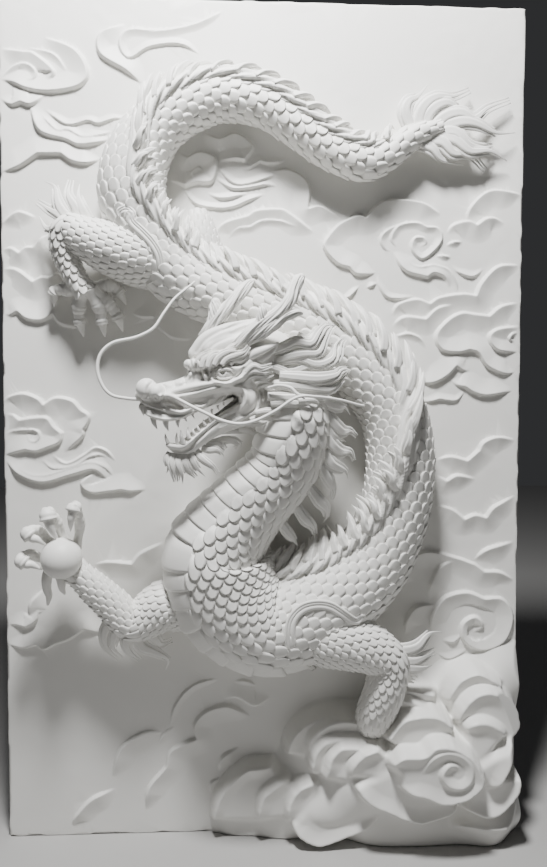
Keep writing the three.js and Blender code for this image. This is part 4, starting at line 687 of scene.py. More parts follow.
# Upper and lower lid
EYELIDS = [
    [[40.9, 88.9, 17.1, 0.1], [41.4, 89.6, 17.4, 0.2], [41.9, 89.9, 17.7, 0.23], [42.7, 90, 17.7, 0.23],
    [43.5, 89.8, 17.5, 0.2], [44.1, 89.3, 17, 0.13]],
    [[40.9, 88.9, 17.1, 0.1], [41.5, 88.5, 17.3, 0.18], [42.4, 88.4, 17.5, 0.2], [43.3, 88.6, 17.3, 0.18],
    [44, 89.2, 16.9, 0.1]],
]

# Teeth: root, tip, out and radius
TEETH = [
    [28.5, 83.9, 28.6, 82.2, 15.2, 0.51], [30.2, 82, 30.9, 79.9, 15.7, 0.56],
    [32.3, 81.8, 32.8, 79.6, 15.8, 0.61], [34.5, 81.9, 34.5, 80.2, 15.7, 0.48],
    [35.6, 82.4, 35.9, 81.2, 15.6, 0.38], [36.9, 82.9, 37.2, 81.7, 15.5, 0.33],
    [40.2, 83.3, 40.3, 82.4, 15.2, 0.25], [41.2, 83.9, 41.4, 83.1, 15.1, 0.23],
    [42.2, 84.4, 42.3, 83.8, 15, 0.2], [32.7, 77.5, 32.2, 79.1, 15.2, 0.33],
    [34.3, 77.3, 34.2, 79.3, 15.3, 0.33], [35.4, 77.3, 34.9, 79.7, 15.6, 0.51],
    [36.3, 78.3, 36.1, 80.2, 15.4, 0.41], [37.2, 79, 37, 80, 15.3, 0.28], [38, 79.6, 37.7, 80.8, 15.2, 0.3],
    [39.1, 80.5, 38.7, 81.5, 15.1, 0.28], [40, 81.2, 39.7, 82, 15, 0.23],
]

# Horns and their branches
HORNS = [
    [[38.8, 95.4, 13.4, 1.04], [39.7, 96.6, 14.2, 1.17], [40.7, 98, 14.6, 1.12], [42.2, 99.7, 14.8, 1.12],
    [43.7, 101.5, 14.5, 1.04], [45.3, 103.4, 14, 0.97], [46.5, 104.8, 13.2, 0.81],
    [47.1, 105.3, 12.9, 0.56]],
    [[40.2, 97.3, 14.2, 0.97], [40.6, 98.8, 14.5, 1.04], [40.8, 100.3, 14.6, 0.97],
    [40.8, 101.5, 14.4, 0.81]],
    [[44.3, 93.9, 16.6, 0.91], [46.2, 95.4, 17.3, 1.12], [48.2, 97, 17.7, 1.12], [50.1, 98.4, 17.9, 1.04],
    [51.9, 99.7, 17.9, 1.04], [53.4, 101.6, 17.7, 1.04], [54.1, 103.4, 17.3, 0.97], [54.9, 105, 16.9, 0.94],
    [55.3, 105.5, 16.7, 0.69]],
    [[46.2, 94.6, 17.3, 0.76], [48.7, 96, 17.8, 0.91], [50.6, 97.4, 18.1, 0.91], [52.6, 98.8, 18, 0.81],
    [54.3, 99.4, 17.8, 0.69], [55.2, 99.4, 17.5, 0.43]],
    [[48.4, 96.9, 17.6, 0.76], [48.6, 98.4, 18, 0.81], [48.8, 99.6, 18.2, 0.76], [48.8, 100.4, 18.1, 0.51]],
]

# The ear
EAR = [
    [46, 91.4, 16.6, 0.61], [47.5, 92.1, 17, 1.42], [49.2, 92.9, 17.4, 1.27], [50.7, 93.8, 17.5, 0.71],
    [51.5, 94.6, 17.3, 0.08],
]

# Locks behind the head and jaw
MANE = [
    [[49.5, 93, 15.6, 0.61], [52, 93.7, 16, 0.76], [54.5, 94.8, 16, 0.76], [57.2, 94.5, 15.6, 0.66],
    [58.5, 96.3, 15, 0.61], [59.7, 97.7, 14.4, 0.41], [61.9, 97.9, 13.4, 0.1]],
    [[50.8, 91.5, 15.6, 0.61], [53.5, 92.3, 15.8, 0.76], [56, 92.8, 15.6, 0.71], [58.6, 93.1, 15, 0.66],
    [59.7, 95.4, 14.4, 0.56], [60.8, 97.2, 13.8, 0.25], [61.6, 97.8, 13.4, 0.1]],
    [[50, 91, 15.2, 0.66], [52.8, 91.7, 15.6, 0.71], [55.3, 91.9, 15.4, 0.71], [58.4, 91, 15, 0.76],
    [61.2, 92.2, 14, 0.71], [61.7, 94.5, 13.2, 0.56], [63.3, 96, 12.2, 0.1]],
    [[51.3, 90, 15, 0.61], [54.1, 89.8, 15.2, 0.76], [56.9, 90.8, 14.9, 0.76], [59.7, 90.9, 14.4, 0.76],
    [62.2, 92.5, 13.4, 0.56], [62.8, 94.8, 12.8, 0.36], [63.6, 95.6, 12.2, 0.1]],
    [[49.5, 90.7, 16.2, 0.46], [51.2, 90.2, 16.4, 0.56], [53, 89.4, 16.2, 0.56], [54.8, 88.4, 15.6, 0.41],
    [56.6, 89.3, 15, 0.1]],
    [[51.7, 89, 16.8, 0.66], [54.9, 88.7, 16.8, 0.86], [58.3, 88.5, 16.3, 0.86], [61.4, 89.1, 15.1, 0.66],
    [62.6, 90.1, 14.1, 0.41], [64.1, 90.4, 12.9, 0.1]],
    [[50.7, 87.5, 16.6, 0.66], [54.2, 87.3, 16.6, 0.86], [57.5, 87, 16.1, 0.86], [60.7, 86.8, 15, 0.66],
    [62.9, 88.6, 13.6, 0.41], [64.1, 90, 12.3, 0.1]],
    [[48.8, 87.5, 15.4, 0.3], [50.5, 86.5, 15.4, 0.41], [52.8, 86.2, 15, 0.41], [55.1, 87.1, 14.4, 0.3],
    [57.3, 87.6, 14, 0.1]],
    [[49.7, 85.5, 16.6, 0.61], [53.2, 85.3, 16.6, 0.81], [56.8, 85.5, 16, 0.81], [59.9, 85.8, 14.9, 0.56],
    [61.2, 86.5, 13.8, 0.1]],
    [[50.2, 84.3, 16.6, 0.46], [53, 84.4, 16.8, 0.66], [55.8, 84.4, 16.2, 0.56], [57.9, 83.9, 15.3, 0.36],
    [59.8, 84.4, 13.9, 0.1]],
    [[54.9, 84.8, 17, 0.36], [56.4, 84.9, 17, 0.41], [57.7, 84.8, 16.5, 0.3], [58.9, 84.2, 15.6, 0.1]],
    [[47.5, 82.7, 16.4, 0.36], [49.5, 83, 16.4, 0.46], [51.5, 82.9, 15.9, 0.46], [52.8, 82.3, 15.1, 0.3],
    [54, 82.4, 14.1, 0.08]],
    [[46.7, 81.5, 15.8, 0.36], [48.8, 82, 15.8, 0.46], [50.8, 81.8, 15.1, 0.38], [52.1, 82, 14.3, 0.08]],
    [[45.7, 80.8, 15.2, 0.36], [47.5, 80.9, 15.2, 0.46], [49.3, 81.1, 14.5, 0.3], [51, 81.3, 13.7, 0.08]],
    [[44.7, 79.7, 12.8, 0.36], [46.3, 79.7, 12.8, 0.43], [47.6, 79.1, 12.2, 0.3], [48.7, 79.5, 11.8, 0.08]],
    [[41.7, 79.2, 13, 0.3], [43.7, 79.5, 12.9, 0.38], [45.2, 79.4, 12.4, 0.28], [47.1, 79.5, 11.8, 0.08]],
    [[40.1, 77.7, 12.6, 0.3], [42.2, 78.1, 12.6, 0.41], [44, 78, 12.2, 0.33], [45.1, 77.3, 11.8, 0.23],
    [45.3, 76.2, 11.4, 0.08]],
    [[42.1, 77.3, 12.2, 0.25], [43.4, 77.6, 12.2, 0.3], [44.5, 77, 11.8, 0.2], [44, 76.4, 11.4, 0.08]],
    [[53.3, 93.1, 14.8, 0.61], [55.9, 94.1, 14.8, 0.66], [57.9, 95.6, 14.4, 0.56], [59, 97.2, 13.8, 0.3],
    [60.2, 98.3, 13.2, 0.1]],
    [[54.9, 96.1, 14.4, 0.51], [56.7, 95.4, 14.4, 0.56], [57.7, 96.4, 14, 0.36], [58.8, 97.6, 13.4, 0.1]],
]

# Locks under the chin
BEARD = [
    [[33, 75.8, 14.3, 0.53], [32.5, 74.7, 14.6, 0.56], [32.7, 73.4, 14.6, 0.43], [32.3, 72.2, 14.2, 0.08]],
    [[33.6, 75.7, 14.5, 0.56], [33.3, 74.2, 14.9, 0.58], [33.6, 72.7, 14.9, 0.46],
    [33.9, 70.8, 14.4, 0.08]],
    [[34.5, 75.6, 14.5, 0.58], [34.4, 74, 15.1, 0.64], [35, 72.2, 15, 0.46], [35.1, 70.4, 14.4, 0.08]],
    [[35.4, 75.6, 14.4, 0.58], [35.5, 74.2, 15, 0.56], [36.1, 72.9, 14.9, 0.43], [37.2, 71.8, 14.3, 0.08]],
    [[36.4, 75.7, 14.2, 0.58], [36.9, 74.3, 14.7, 0.56], [37.8, 72.9, 14.6, 0.43], [39, 71.6, 14, 0.08]],
    [[37.4, 76, 14, 0.58], [38.4, 74.8, 14.4, 0.56], [39.7, 73.8, 14.3, 0.43], [40.5, 73.1, 14, 0.25],
    [41.2, 72, 13.6, 0.08]],
    [[38.4, 76.6, 13.7, 0.56], [39.6, 76.3, 14, 0.56], [40.9, 76.3, 13.9, 0.43], [41.9, 75.6, 13.6, 0.25],
    [42.2, 74.9, 13.2, 0.08]],
    [[39.1, 77.3, 13.4, 0.51], [40.7, 77.4, 13.6, 0.53], [41.9, 76.9, 13.4, 0.36], [42.5, 76.3, 13, 0.08]],
    [[34, 75.4, 14, 0.41], [33.8, 73.6, 14.2, 0.43], [34.5, 71.9, 14.2, 0.3], [34.4, 70.8, 13.8, 0.08]],
    [[36, 75.3, 13.8, 0.41], [36.2, 73.6, 14.1, 0.41], [36.7, 72.3, 14, 0.25], [37.3, 71.5, 13.6, 0.08]],
]

# Locks over the eye and at the temple
BROW_TUFTS = [
    [[38.6, 90.2, 17.6, 0.36], [39, 91.5, 17.6, 0.41], [40, 92.3, 17.6, 0.36], [41.3, 92.7, 17.6, 0.1]],
    [[39.6, 90.2, 17.9, 0.36], [40.1, 91.6, 17.9, 0.43], [41.1, 92.4, 17.9, 0.38], [42.7, 92.1, 17.9, 0.1]],
    [[40.7, 90.5, 18, 0.36], [41.3, 91.8, 18, 0.46], [42.8, 92.8, 18, 0.43], [44.3, 93, 18, 0.25],
    [45, 92.8, 18, 0.08]],
    [[41.9, 90.6, 18, 0.33], [42.8, 91.7, 18, 0.43], [44.3, 92.3, 18, 0.43], [45.7, 92.8, 18, 0.33],
    [46.5, 93.8, 18, 0.08]],
    [[43.3, 90.7, 17.7, 0.3], [44, 91.6, 17.7, 0.38], [45.1, 91.8, 17.7, 0.36], [46.2, 92.5, 17.7, 0.2],
    [46.6, 93, 17.7, 0.08]],
    [[37.6, 90.9, 17.3, 0.3], [38.1, 91.8, 17.3, 0.33], [39.1, 92.6, 17.3, 0.25], [40.3, 93.1, 17.3, 0.08]],
    [[42.3, 92.8, 17.3, 0.3], [43.8, 93.8, 17.3, 0.38], [45.5, 94.4, 17.3, 0.33], [47, 95.1, 17.3, 0.1]],
    [[46, 89.4, 17.6, 0.23], [46.6, 90.2, 17.6, 0.33], [47.5, 90.6, 17.6, 0.33], [48.7, 90.2, 17.6, 0.28],
    [50.4, 90.7, 17.6, 0.08]],
    [[46.1, 89.1, 17.4, 0.23], [47.2, 89.7, 17.4, 0.33], [48.5, 89.6, 17.4, 0.3], [49.4, 89.4, 17.4, 0.23],
    [50.4, 89.9, 17.4, 0.08]],
    [[46.5, 88.6, 17.1, 0.23], [47.7, 88.9, 17.1, 0.3], [49.2, 88.8, 17.1, 0.28], [50.6, 89.3, 17.1, 0.08]],
    [[47.5, 87.7, 16.8, 0.23], [48.7, 88.2, 16.8, 0.3], [49.8, 88.3, 16.8, 0.25], [50.7, 88.5, 16.8, 0.08]],
    [[48, 87, 16.4, 0.23], [49.2, 87.5, 16.4, 0.28], [50.2, 87.4, 16.4, 0.2], [50.9, 87.7, 16.4, 0.08]],
    [[50, 86.9, 16.2, 0.18], [50.9, 87.1, 16.2, 0.25], [51.4, 86.7, 16.2, 0.18], [51.6, 86.1, 16.2, 0.08]],
]

# Locks at the knees and the elbow
JOINT_TUFTS = [
    [[15.1, 116.7, 5.4, 1], [13, 118.7, 5.8, 1], [12, 120.8, 5.7, 0.75], [11.5, 123.3, 5.2, 0.5],
    [9.4, 124.6, 4.1, 0.25]],
    [[14.5, 116.3, 5.4, 1], [12.5, 118.1, 5.8, 0.88], [10.6, 119.1, 5.4, 0.62], [7.9, 121, 4.1, 0.25]],
    [[13.8, 115.6, 5.4, 1], [11.6, 115.8, 5.8, 0.88], [9.9, 115.9, 5.4, 0.62], [8.3, 118.3, 4.1, 0.25]],
    [[16.3, 117.4, 5.4, 1], [15, 119.9, 5.8, 0.88], [13.9, 122, 5.4, 0.62], [14.1, 124.9, 4.1, 0.25]],
    [[17.4, 117.4, 5.4, 1], [16.4, 119.4, 5.8, 0.88], [15.7, 121.7, 5.4, 0.62], [15.7, 124.2, 4.1, 0.25]],
    [[21.1, 44.3, 5.1, 1], [19.7, 41.7, 5, 0.88], [19.8, 38.8, 4.3, 0.62], [22.1, 35.6, 2.8, 0.25]],
    [[22.5, 43.6, 5.1, 1], [21.4, 40.9, 5, 0.88], [21.1, 38.4, 4.3, 0.62], [22.7, 36.1, 2.8, 0.25]],
    [[24, 42.8, 5.1, 1], [23.6, 39.8, 5, 0.88], [24.2, 37.6, 4.3, 0.62], [25.9, 35.5, 2.8, 0.25]],
    [[25.5, 42, 5.1, 1], [26.6, 39, 5.1, 1], [29, 37.7, 4.8, 0.75], [31.3, 36, 4, 0.5],
    [30.8, 33.5, 2.8, 0.25]],
    [[27.7, 42.4, 5.1, 1], [29.2, 40.1, 5, 0.88], [30.2, 39, 4.3, 0.62], [32, 39.3, 2.8, 0.25]],
    [[73, 39, 9.2, 1.12], [75.4, 39, 9.4, 1], [77.9, 39.6, 9, 0.88], [80.2, 41.5, 8.1, 0.62],
    [83.1, 41.3, 6.6, 0.38]],
    [[73.4, 37.8, 9.2, 1.12], [76.4, 36.9, 9.3, 1], [78.8, 37.1, 8.5, 0.75], [81.8, 37.7, 6.6, 0.38]],
    [[73.4, 36.3, 9.2, 1.12], [76.4, 35.6, 9.3, 1], [78.9, 35.2, 8.5, 0.75], [81.3, 35, 6.6, 0.38]],
    [[73.4, 34.8, 9.2, 1.12], [75.5, 34, 9, 0.88], [78.2, 32.2, 6.6, 0.38]],
]

# Locks of the tail's tuft
TAIL_TUFT = [
    [[77.4, 135.6, 2.8, 1.35], [75.9, 138.6, 3.4, 1.2], [76.6, 140.7, 3.4, 0.9], [78.5, 141.9, 2.8, 0.6],
    [80.8, 144.8, 1.6, 0.3]],
    [[78.1, 135.6, 2.8, 1.35], [79.1, 139.3, 3.4, 1.2], [81.7, 141.5, 3.4, 0.9], [85.3, 142, 2.8, 0.6],
    [88.7, 143.7, 1.6, 0.3]],
    [[78.9, 135.6, 2.8, 1.35], [81, 139.1, 3.4, 1.2], [83.8, 140.5, 3.4, 0.9], [86.3, 139.8, 2.8, 0.6],
    [89.4, 140.4, 1.6, 0.3]],
    [[81.2, 136, 2.8, 1.35], [83.7, 138.1, 3.3, 1.2], [86.7, 138.7, 3.4, 1.05], [89.1, 137.7, 3.2, 0.9],
    [91.9, 140, 2.6, 0.6], [96.5, 142, 1.6, 0.3]],
    [[82, 135.7, 2.8, 1.35], [86.3, 137, 3.4, 1.2], [89.6, 136.7, 3.4, 0.9], [93.5, 135.4, 2.8, 0.6],
    [97.6, 135.9, 1.6, 0.3]],
    [[82, 135.1, 2.8, 1.35], [85.4, 135.2, 3.4, 1.2], [87.7, 133, 3.4, 0.9], [90.2, 132.7, 2.8, 0.6],
    [93.3, 133.2, 1.6, 0.3]],
    [[82, 134.6, 2.8, 1.35], [85.4, 133.7, 3.4, 1.2], [88.3, 131.7, 3.4, 0.9], [92.4, 132, 2.8, 0.6],
    [96.1, 130.6, 1.6, 0.3]],
    [[79.7, 133.8, 2.8, 1.35], [83, 133.3, 3.4, 1.2], [85.1, 131.3, 3.4, 0.9], [88.5, 131.2, 2.8, 0.6],
    [91.9, 128.8, 1.6, 0.3]],
    [[78.5, 133.4, 2.8, 1.35], [81.1, 132.1, 3.4, 1.05], [83.1, 130.2, 3, 0.75], [87.8, 129.7, 1.6, 0.3]],
]

# Middle line of the near whisker: across, up, out
WHISKER_NEAR = [
    [33.8, 85.2, 16.1], [32.1, 85.4, 16.9], [32.8, 85.6, 17.7], [34, 85.3, 18.2], [36.5, 84, 18.7],
    [39.2, 82.7, 19], [41.8, 81.5, 19.2], [44.7, 80.9, 19.3], [47.5, 81.4, 19.3], [50.8, 83, 19.3],
    [54.5, 85.3, 19], [58.1, 85.4, 18.2], [62, 84.9, 17], [65.3, 84.1, 15.6], [66.5, 83.9, 15.1],
]

# Middle line of the far whisker
WHISKER_FAR = [
    [29.3, 84.8, 14.9], [27.9, 84.9, 15.7], [25.8, 85.1, 16.7], [23.6, 85.6, 17.2], [22.1, 87.1, 17.2],
    [21.2, 89.8, 17], [21.7, 92.5, 16.7], [23.7, 94.4, 16.2], [27.4, 95.4, 15.6], [30.2, 97, 14.8],
    [31.9, 99.7, 13.8], [33.7, 102.5, 12.3], [36.2, 104.9, 10.7], [37, 105.7, 10.2],
]

# Fork of the near whisker
WHISKER_FORK = [
    [55.9, 85.2, 18.7], [54.5, 85.9, 18.7], [53.4, 86.9, 18.4], [51.5, 87.3, 17.9], [49.7, 86.9, 17.4],
]

# In squares
WHISKER_RADIUS = 0.29


def length_setting(name, description, default):
    """A setting in metres."""
    return bpy.props.FloatProperty(
        name=name, description=description, default=default, subtype="DISTANCE", unit="LENGTH"
    )


class PanelSettings(bpy.types.PropertyGroup):
    """Sizes of the slab's face and the low clouds on it."""

    grid: length_setting("Grid", "Spacing of the face's points before thinning", 2.4 * MM)
    cloud_rise: length_setting("Cloud rise", "Height of a broad cloud's edge", 10.5 * MM)
    cloud_fade: length_setting("Cloud fade", "Way in which a broad cloud sinks back to the face", 44 * MM)
    stream_rise: length_setting("Stream rise", "Height of a stream of mist", 7 * MM)
    stream_fade: length_setting("Stream fade", "Width of a stream of mist", 17 * MM)
    edge_slope: length_setting("Edge slope", "Width of the steep outer side of a cloud's edge", 4 * MM)
    chip_depth: length_setting("Chip depth", "Largest chip along the slab's edges", 5 * MM)


def smoothstep(value):
    value = np.clip(value, 0, 1)
    return value * value * (3 - 2 * value)


def value_noise(x, z, size, seed):
    """Soft noise from -1 to 1, with bumps of about the size given."""
    rng = np.random.default_rng(seed)
    lattice = rng.uniform(-1, 1, (128, 128))
    u, v = x / size, z / size
    i, j = np.floor(u).astype(int), np.floor(v).astype(int)
    a, b = smoothstep(u - i), smoothstep(v - j)
    corner = lambda p, q: lattice[p % 128, q % 128]
    low = corner(i, j) * (1 - a) + corner(i + 1, j) * a
    high = corner(i, j + 1) * (1 - a) + corner(i + 1, j + 1) * a
    return low * (1 - b) + high * b


# Way over which a free end of a cloud's line dies away, and how sharply raised lines meet
END_RUN = 0.05
BLEND_POWER = 5


class Field:
    """Heights over the panel's face on a regular grid, in metres."""

    def __init__(self, spacing, low, high):
        """low and high are corners in metres across and up, from the panel's lower left."""
        self.low, self.high = np.array(low, float), np.array(high, float)
        counts = np.round((self.high - self.low) / spacing).astype(int) + 1
        self.x = np.linspace(low[0], high[0], counts[0])
        self.z = np.linspace(low[1], high[1], counts[1])
        self.height = np.zeros((counts[0], counts[1]))
        self.raised = np.zeros_like(self.height)

    def window(self, low, high):
        i0, i1 = np.searchsorted(self.x, [low[0], high[0]])
        j0, j1 = np.searchsorted(self.z, [low[1], high[1]])
        return slice(i0, i1), slice(j0, j1)

    def raise_edge(self, rows, rise, fade, slope, inside):
        """Raises a line, steep on its outer side and fading on its inner side and toward its ends."""
        along = np.concatenate([[0], np.cumsum(np.linalg.norm(np.diff(rows, axis=0), axis=1))])
        length = along[-1]
        reach = fade + slope
        window = self.window(rows.min(axis=0) - reach, rows.max(axis=0) + reach)
        x, z = np.meshgrid(self.x[window[0]], self.z[window[1]], indexing="ij")
        if not x.size:
            return
        best = np.full(x.shape, 1e9)
        beside = np.zeros(x.shape)
        where = np.zeros(x.shape)
        for k, (start, step) in enumerate(zip(rows, np.diff(rows, axis=0))):
            size = math.hypot(*step)
            dx, dz = x - start[0], z - start[1]
            t = np.clip((dx * step[0] + dz * step[1]) / size**2, 0, 1)
            distance = np.hypot(dx - t * step[0], dz - t * step[1])
            off = (step[0] * dz - step[1] * dx) / size
            level = (distance < best + 1e-7) & (np.abs(off) > np.abs(beside))
            closer = (distance < best - 1e-7) | level
            best = np.where(closer, distance, best)
            beside = np.where(closer, off, beside)
            where = np.where(closer, along[k] + t * size, where)
        run = min(0.45 * length, END_RUN)
        ends = (smoothstep(where / run) * smoothstep((length - where) / run)) ** 0.7
        outer = smoothstep(1 - best / slope)
        lip = 0.12 * np.sqrt(np.clip(1 - (1 - np.clip(best / slope, 0, 1)) ** 2, 0, 1))
        inner = (0.88 + lip) * (1 - np.clip(best / (fade * (0.35 + 0.65 * ends)), 0, 1)) ** 1.5
        shape = np.where(inside * beside > 0, inner, outer * 0.88)
        self.raised[window] += (rise * ends * shape) ** BLEND_POWER

    def fill(self, centre, rim, level, reach):
        """Raises the fan between a centre and a rim to a level, sinking toward the fan's straight sides."""
        outline = np.vstack([centre, rim])
        window = self.window(outline.min(axis=0), outline.max(axis=0))
        x, z = np.meshgrid(self.x[window[0]], self.z[window[1]], indexing="ij")
        inside = np.zeros(x.shape, bool)
        for (x0, z0), (x1, z1) in zip(outline, np.roll(outline, -1, axis=0)):
            if z0 != z1:
                crossed = (z < z0) != (z < z1)
                inside ^= crossed & (x < x0 + (z - z0) * (x1 - x0) / (z1 - z0))
        aside = np.full(x.shape, reach)
        for end in (rim[0], rim[-1]):
            dx, dz = end - centre
            t = np.clip(((x - centre[0]) * dx + (z - centre[1]) * dz) / (dx**2 + dz**2), 0, 1)
            aside = np.minimum(aside, np.hypot(x - centre[0] - t * dx, z - centre[1] - t * dz))
        below = self.height[window]
        share = np.where(inside, smoothstep(aside / reach), 0)
        self.height[window] = np.maximum(below, below + (level - below) * share)

    def settle(self):
        """Adds what was raised to the heights."""
        self.height += self.raised ** (1 / BLEND_POWER)
        self.raised[:] = 0

    def piece(self, name, back):
        """A closed form with the heights in front and a flat back, back metres behind the face."""
        nx, nz = self.height.shape
        x, z = np.meshgrid(self.x, self.z, indexing="ij")
        front = np.stack([x - WIDTH / 2, FACE - self.height, z], axis=-1).reshape(-1, 3)
        index = np.arange(nx * nz).reshape(nx, nz)
        corners = [index[:-1, :-1], index[1:, :-1], index[1:, 1:], index[:-1, 1:]]
        quads = np.stack(corners, -1).reshape(-1, 4)
        rim = np.concatenate([index[:-1, 0], index[-1, :-1], index[:0:-1, -1], index[0, :0:-1]])
        behind = front[rim].copy()
        behind[:, 1] = FACE + back
        ring = nx * nz + np.arange(len(rim))
        after = np.roll(np.arange(len(rim)), -1)
        sides = np.stack([rim, ring, ring[after], rim[after]], -1)
        mesh = bpy.data.meshes.new(name)
        faces = quads.tolist() + sides.tolist() + [ring.tolist()]
        mesh.from_pydata(np.vstack([front, behind]).tolist(), [], faces)
        mesh.update()
        obj = bpy.data.objects.new(name, mesh)
        bpy.context.scene.collection.objects.link(obj)
        outward(obj)
        return obj


def arc_points(arc):
    return np.array(arc, float).reshape(-1, 2) * [ACROSS, UP]


def curl(points):
    """Twice the area between a line and its chord: above 0 where the line curls round its left side."""
    x, z = points[:, 0], points[:, 1]
    return np.sum(x * np.roll(z, -1) - np.roll(x, -1) * z)


def raise_arcs(field, arcs, rise, fade, slope):
    """Raises arcs, those that meet end to end as one line."""
    chain, turned = [], 0.0
    for arc, after in zip(arcs, [*arcs[1:], None]):
        points = arc_points(arc)
        rows, _ = smooth_rows(points, 7 * len(points), 2)
        chain.append(rows if not chain else rows[1:])
        turned += curl(points)
        if after is None or after[:2] != arc[-2:]:
            field.raise_edge(np.vstack(chain), rise, fade, slope, math.copysign(1, turned))
            chain, turned = [], 0.0


def soften(obj, passes):
    """Smooths a mesh so many times."""
    modifier = obj.modifiers.new("soften", "SMOOTH")
    modifier.factor = 0.5
    modifier.iterations = passes
    apply_modifiers(obj)


def thin_out(obj, triangles):
    """Thins a dense mesh down to about so many triangles and keeps its broad faces flat in the shading."""
    obj.data.shade_smooth()
    now = sum(len(face.vertices) - 2 for face in obj.data.polygons)
    if now > triangles:
        modifier = obj.modifiers.new("thin", "DECIMATE")
        modifier.ratio = triangles / now
    modifier = obj.modifiers.new("flat", "WEIGHTED_NORMAL")
    modifier.mode = "FACE_AREA"
    apply_modifiers(obj)


class RELIEF_OT_panel_face(bpy.types.Operator):
    """Builds the slab with its low clouds, mist and chipped edges"""

    bl_idname = "relief.panel_face"
    bl_label = "Slab and low clouds"

    def execute(self, context):
        settings = context.scene.relief_panel
        field = Field(settings.grid, (0, 0), (WIDTH, HEIGHT))
        raise_arcs(field, CLOUD_ARCS, settings.cloud_rise, settings.cloud_fade, settings.edge_slope)
        raise_arcs(field, STREAM_ARCS, settings.stream_rise, settings.stream_fade, settings.edge_slope * 0.7)
        field.settle()
        x, z = np.meshgrid(field.x, field.z, indexing="ij")
        waves, dimples = value_noise(x, z, 0.11, SEED), value_noise(x, z, 0.025, SEED + 1)
        field.height += 0.9 * MM * waves + 0.35 * MM * dimples
        border = np.minimum(np.minimum(x, WIDTH - x), np.minimum(z, HEIGHT - z))
        ragged = 0.35 + 0.65 * smoothstep(0.5 + value_noise(x, z, 0.03, SEED + 2))
        chip = settings.chip_depth * ragged
        field.height = np.maximum(field.height, 0) - np.where(border < chip, chip - border, 0)
        field.height += 0.6 * MM
        panel = field.piece("panel_face", BACK - FACE)
        thin_out(panel, PANEL_TRIANGLES)
        dress(panel, "relief_panel")
        return {"FINISHED"}


# How far the bank stands out where it is cut flush with the right side: squares up, millimetres out
CUT_UPS = (0, 11.4, 23, 33, 36)
CUT_DEPTHS = (128, 104, 56, 14, 2)


class BankSettings(bpy.types.PropertyGroup):
    """The high bank of clouds at the panel's lower right corner."""

    grid: length_setting("Grid", "Spacing of the bank's points before thinning", 2.8 * MM)
    rim_rise: length_setting("Rim rise", "Height of a petal's rim over the petal", 14 * MM)
    rim_fade: length_setting("Rim fade", "Way in which a rim sinks into its lobe", 36 * MM)
    rounding: length_setting("Rounding", "Way over which a petal's edge is rounded", 4 * MM)
    petal_slope: length_setting(
        "Petal slope", "Way over which a petal rises from its straight sides", 20 * MM
    )
    dome: bpy.props.FloatProperty(
        name="Dome", description="How early a lobe falls toward its edge", default=0.6, min=0.1, max=3,
    )
    blend: length_setting("Blend", "Way over which the lobes' heights run into each other", 30 * MM)
    base_share: bpy.props.FloatProperty(
        name="Base share", description="Share of the lobes' height under the petals", default=0.84,
        min=0, max=1,
    )


def blurred(height, reach):
    """Heights averaged twice over a square of cells."""
    for _ in range(2):
        for axis in (0, 1):
            pad = [(0, 0), (0, 0)]
            pad[axis] = (reach + 1, reach)
            total = np.cumsum(np.pad(height, pad, mode="edge"), axis=axis)
            upper = np.take(total, range(2 * reach + 1, total.shape[axis]), axis=axis)
            lower = np.take(total, range(0, total.shape[axis] - 2 * reach - 1), axis=axis)
            height = (upper - lower) / (2 * reach + 1)
    return height


class RELIEF_OT_cloud_bank(bpy.types.Operator):
    """Builds the high bank of clouds: petals stacked round a curl on a smooth hill"""

    bl_idname = "relief.cloud_bank"
    bl_label = "Cloud bank"

    def execute(self, context):
        settings = context.scene.relief_bank
        field = Field(settings.grid, (30 * ACROSS, 0), (WIDTH, 46 * UP))
        x, z = np.meshgrid(field.x / ACROSS, field.z / UP, indexing="ij")
        for across, up, half_width, half_height, reach in BANK_LOBES:
            t = ((x - across) / half_width) ** 2 + ((z - up) / half_height) ** 2
            side = (1 - np.clip(t, 0, 1) ** 2) ** settings.dome
            field.height = np.maximum(field.height, reach * OUT * side)
        field.height = blurred(field.height, int(settings.blend / settings.grid))
        field.height *= settings.base_share
        rims = [arc for level, centre_across, centre_up, *arc in BANK_PETALS]
        for (level, *centre), arc in zip([petal[:3] for petal in BANK_PETALS], rims):
            rim, _ = smooth_rows(arc_points(arc), 4 * len(arc), 2)
            field.fill(arc_points(centre)[0], rim, level * OUT, settings.petal_slope)
        field.height = blurred(field.height, int(settings.rounding / settings.grid))
        raise_arcs(field, rims, settings.rim_rise, settings.rim_fade, 9 * MM)
        raise_arcs(field, [BANK_CURL], settings.rim_rise * 0.8, 22 * MM, 9 * MM)
        field.settle()
        uneven = 1.6 * MM * value_noise(x * ACROSS, z * UP, 0.07, SEED + 5)
        field.height += np.where(field.height > 10 * MM, uneven, 0) - 7 * MM
        cut = np.interp(z, CUT_UPS, CUT_DEPTHS) * MM + (WIDTH - x * ACROSS)
        top = (FACE - SOLID_BOX[0][1]) - 2 * MM
        field.height = np.minimum(field.height, np.minimum(cut, top))
        bank = field.piece("cloud_bank", 12 * MM)
        soften(bank, 1)
        thin_out(bank, BANK_TRIANGLES)
        dress(bank)
        return {"FINISHED"}


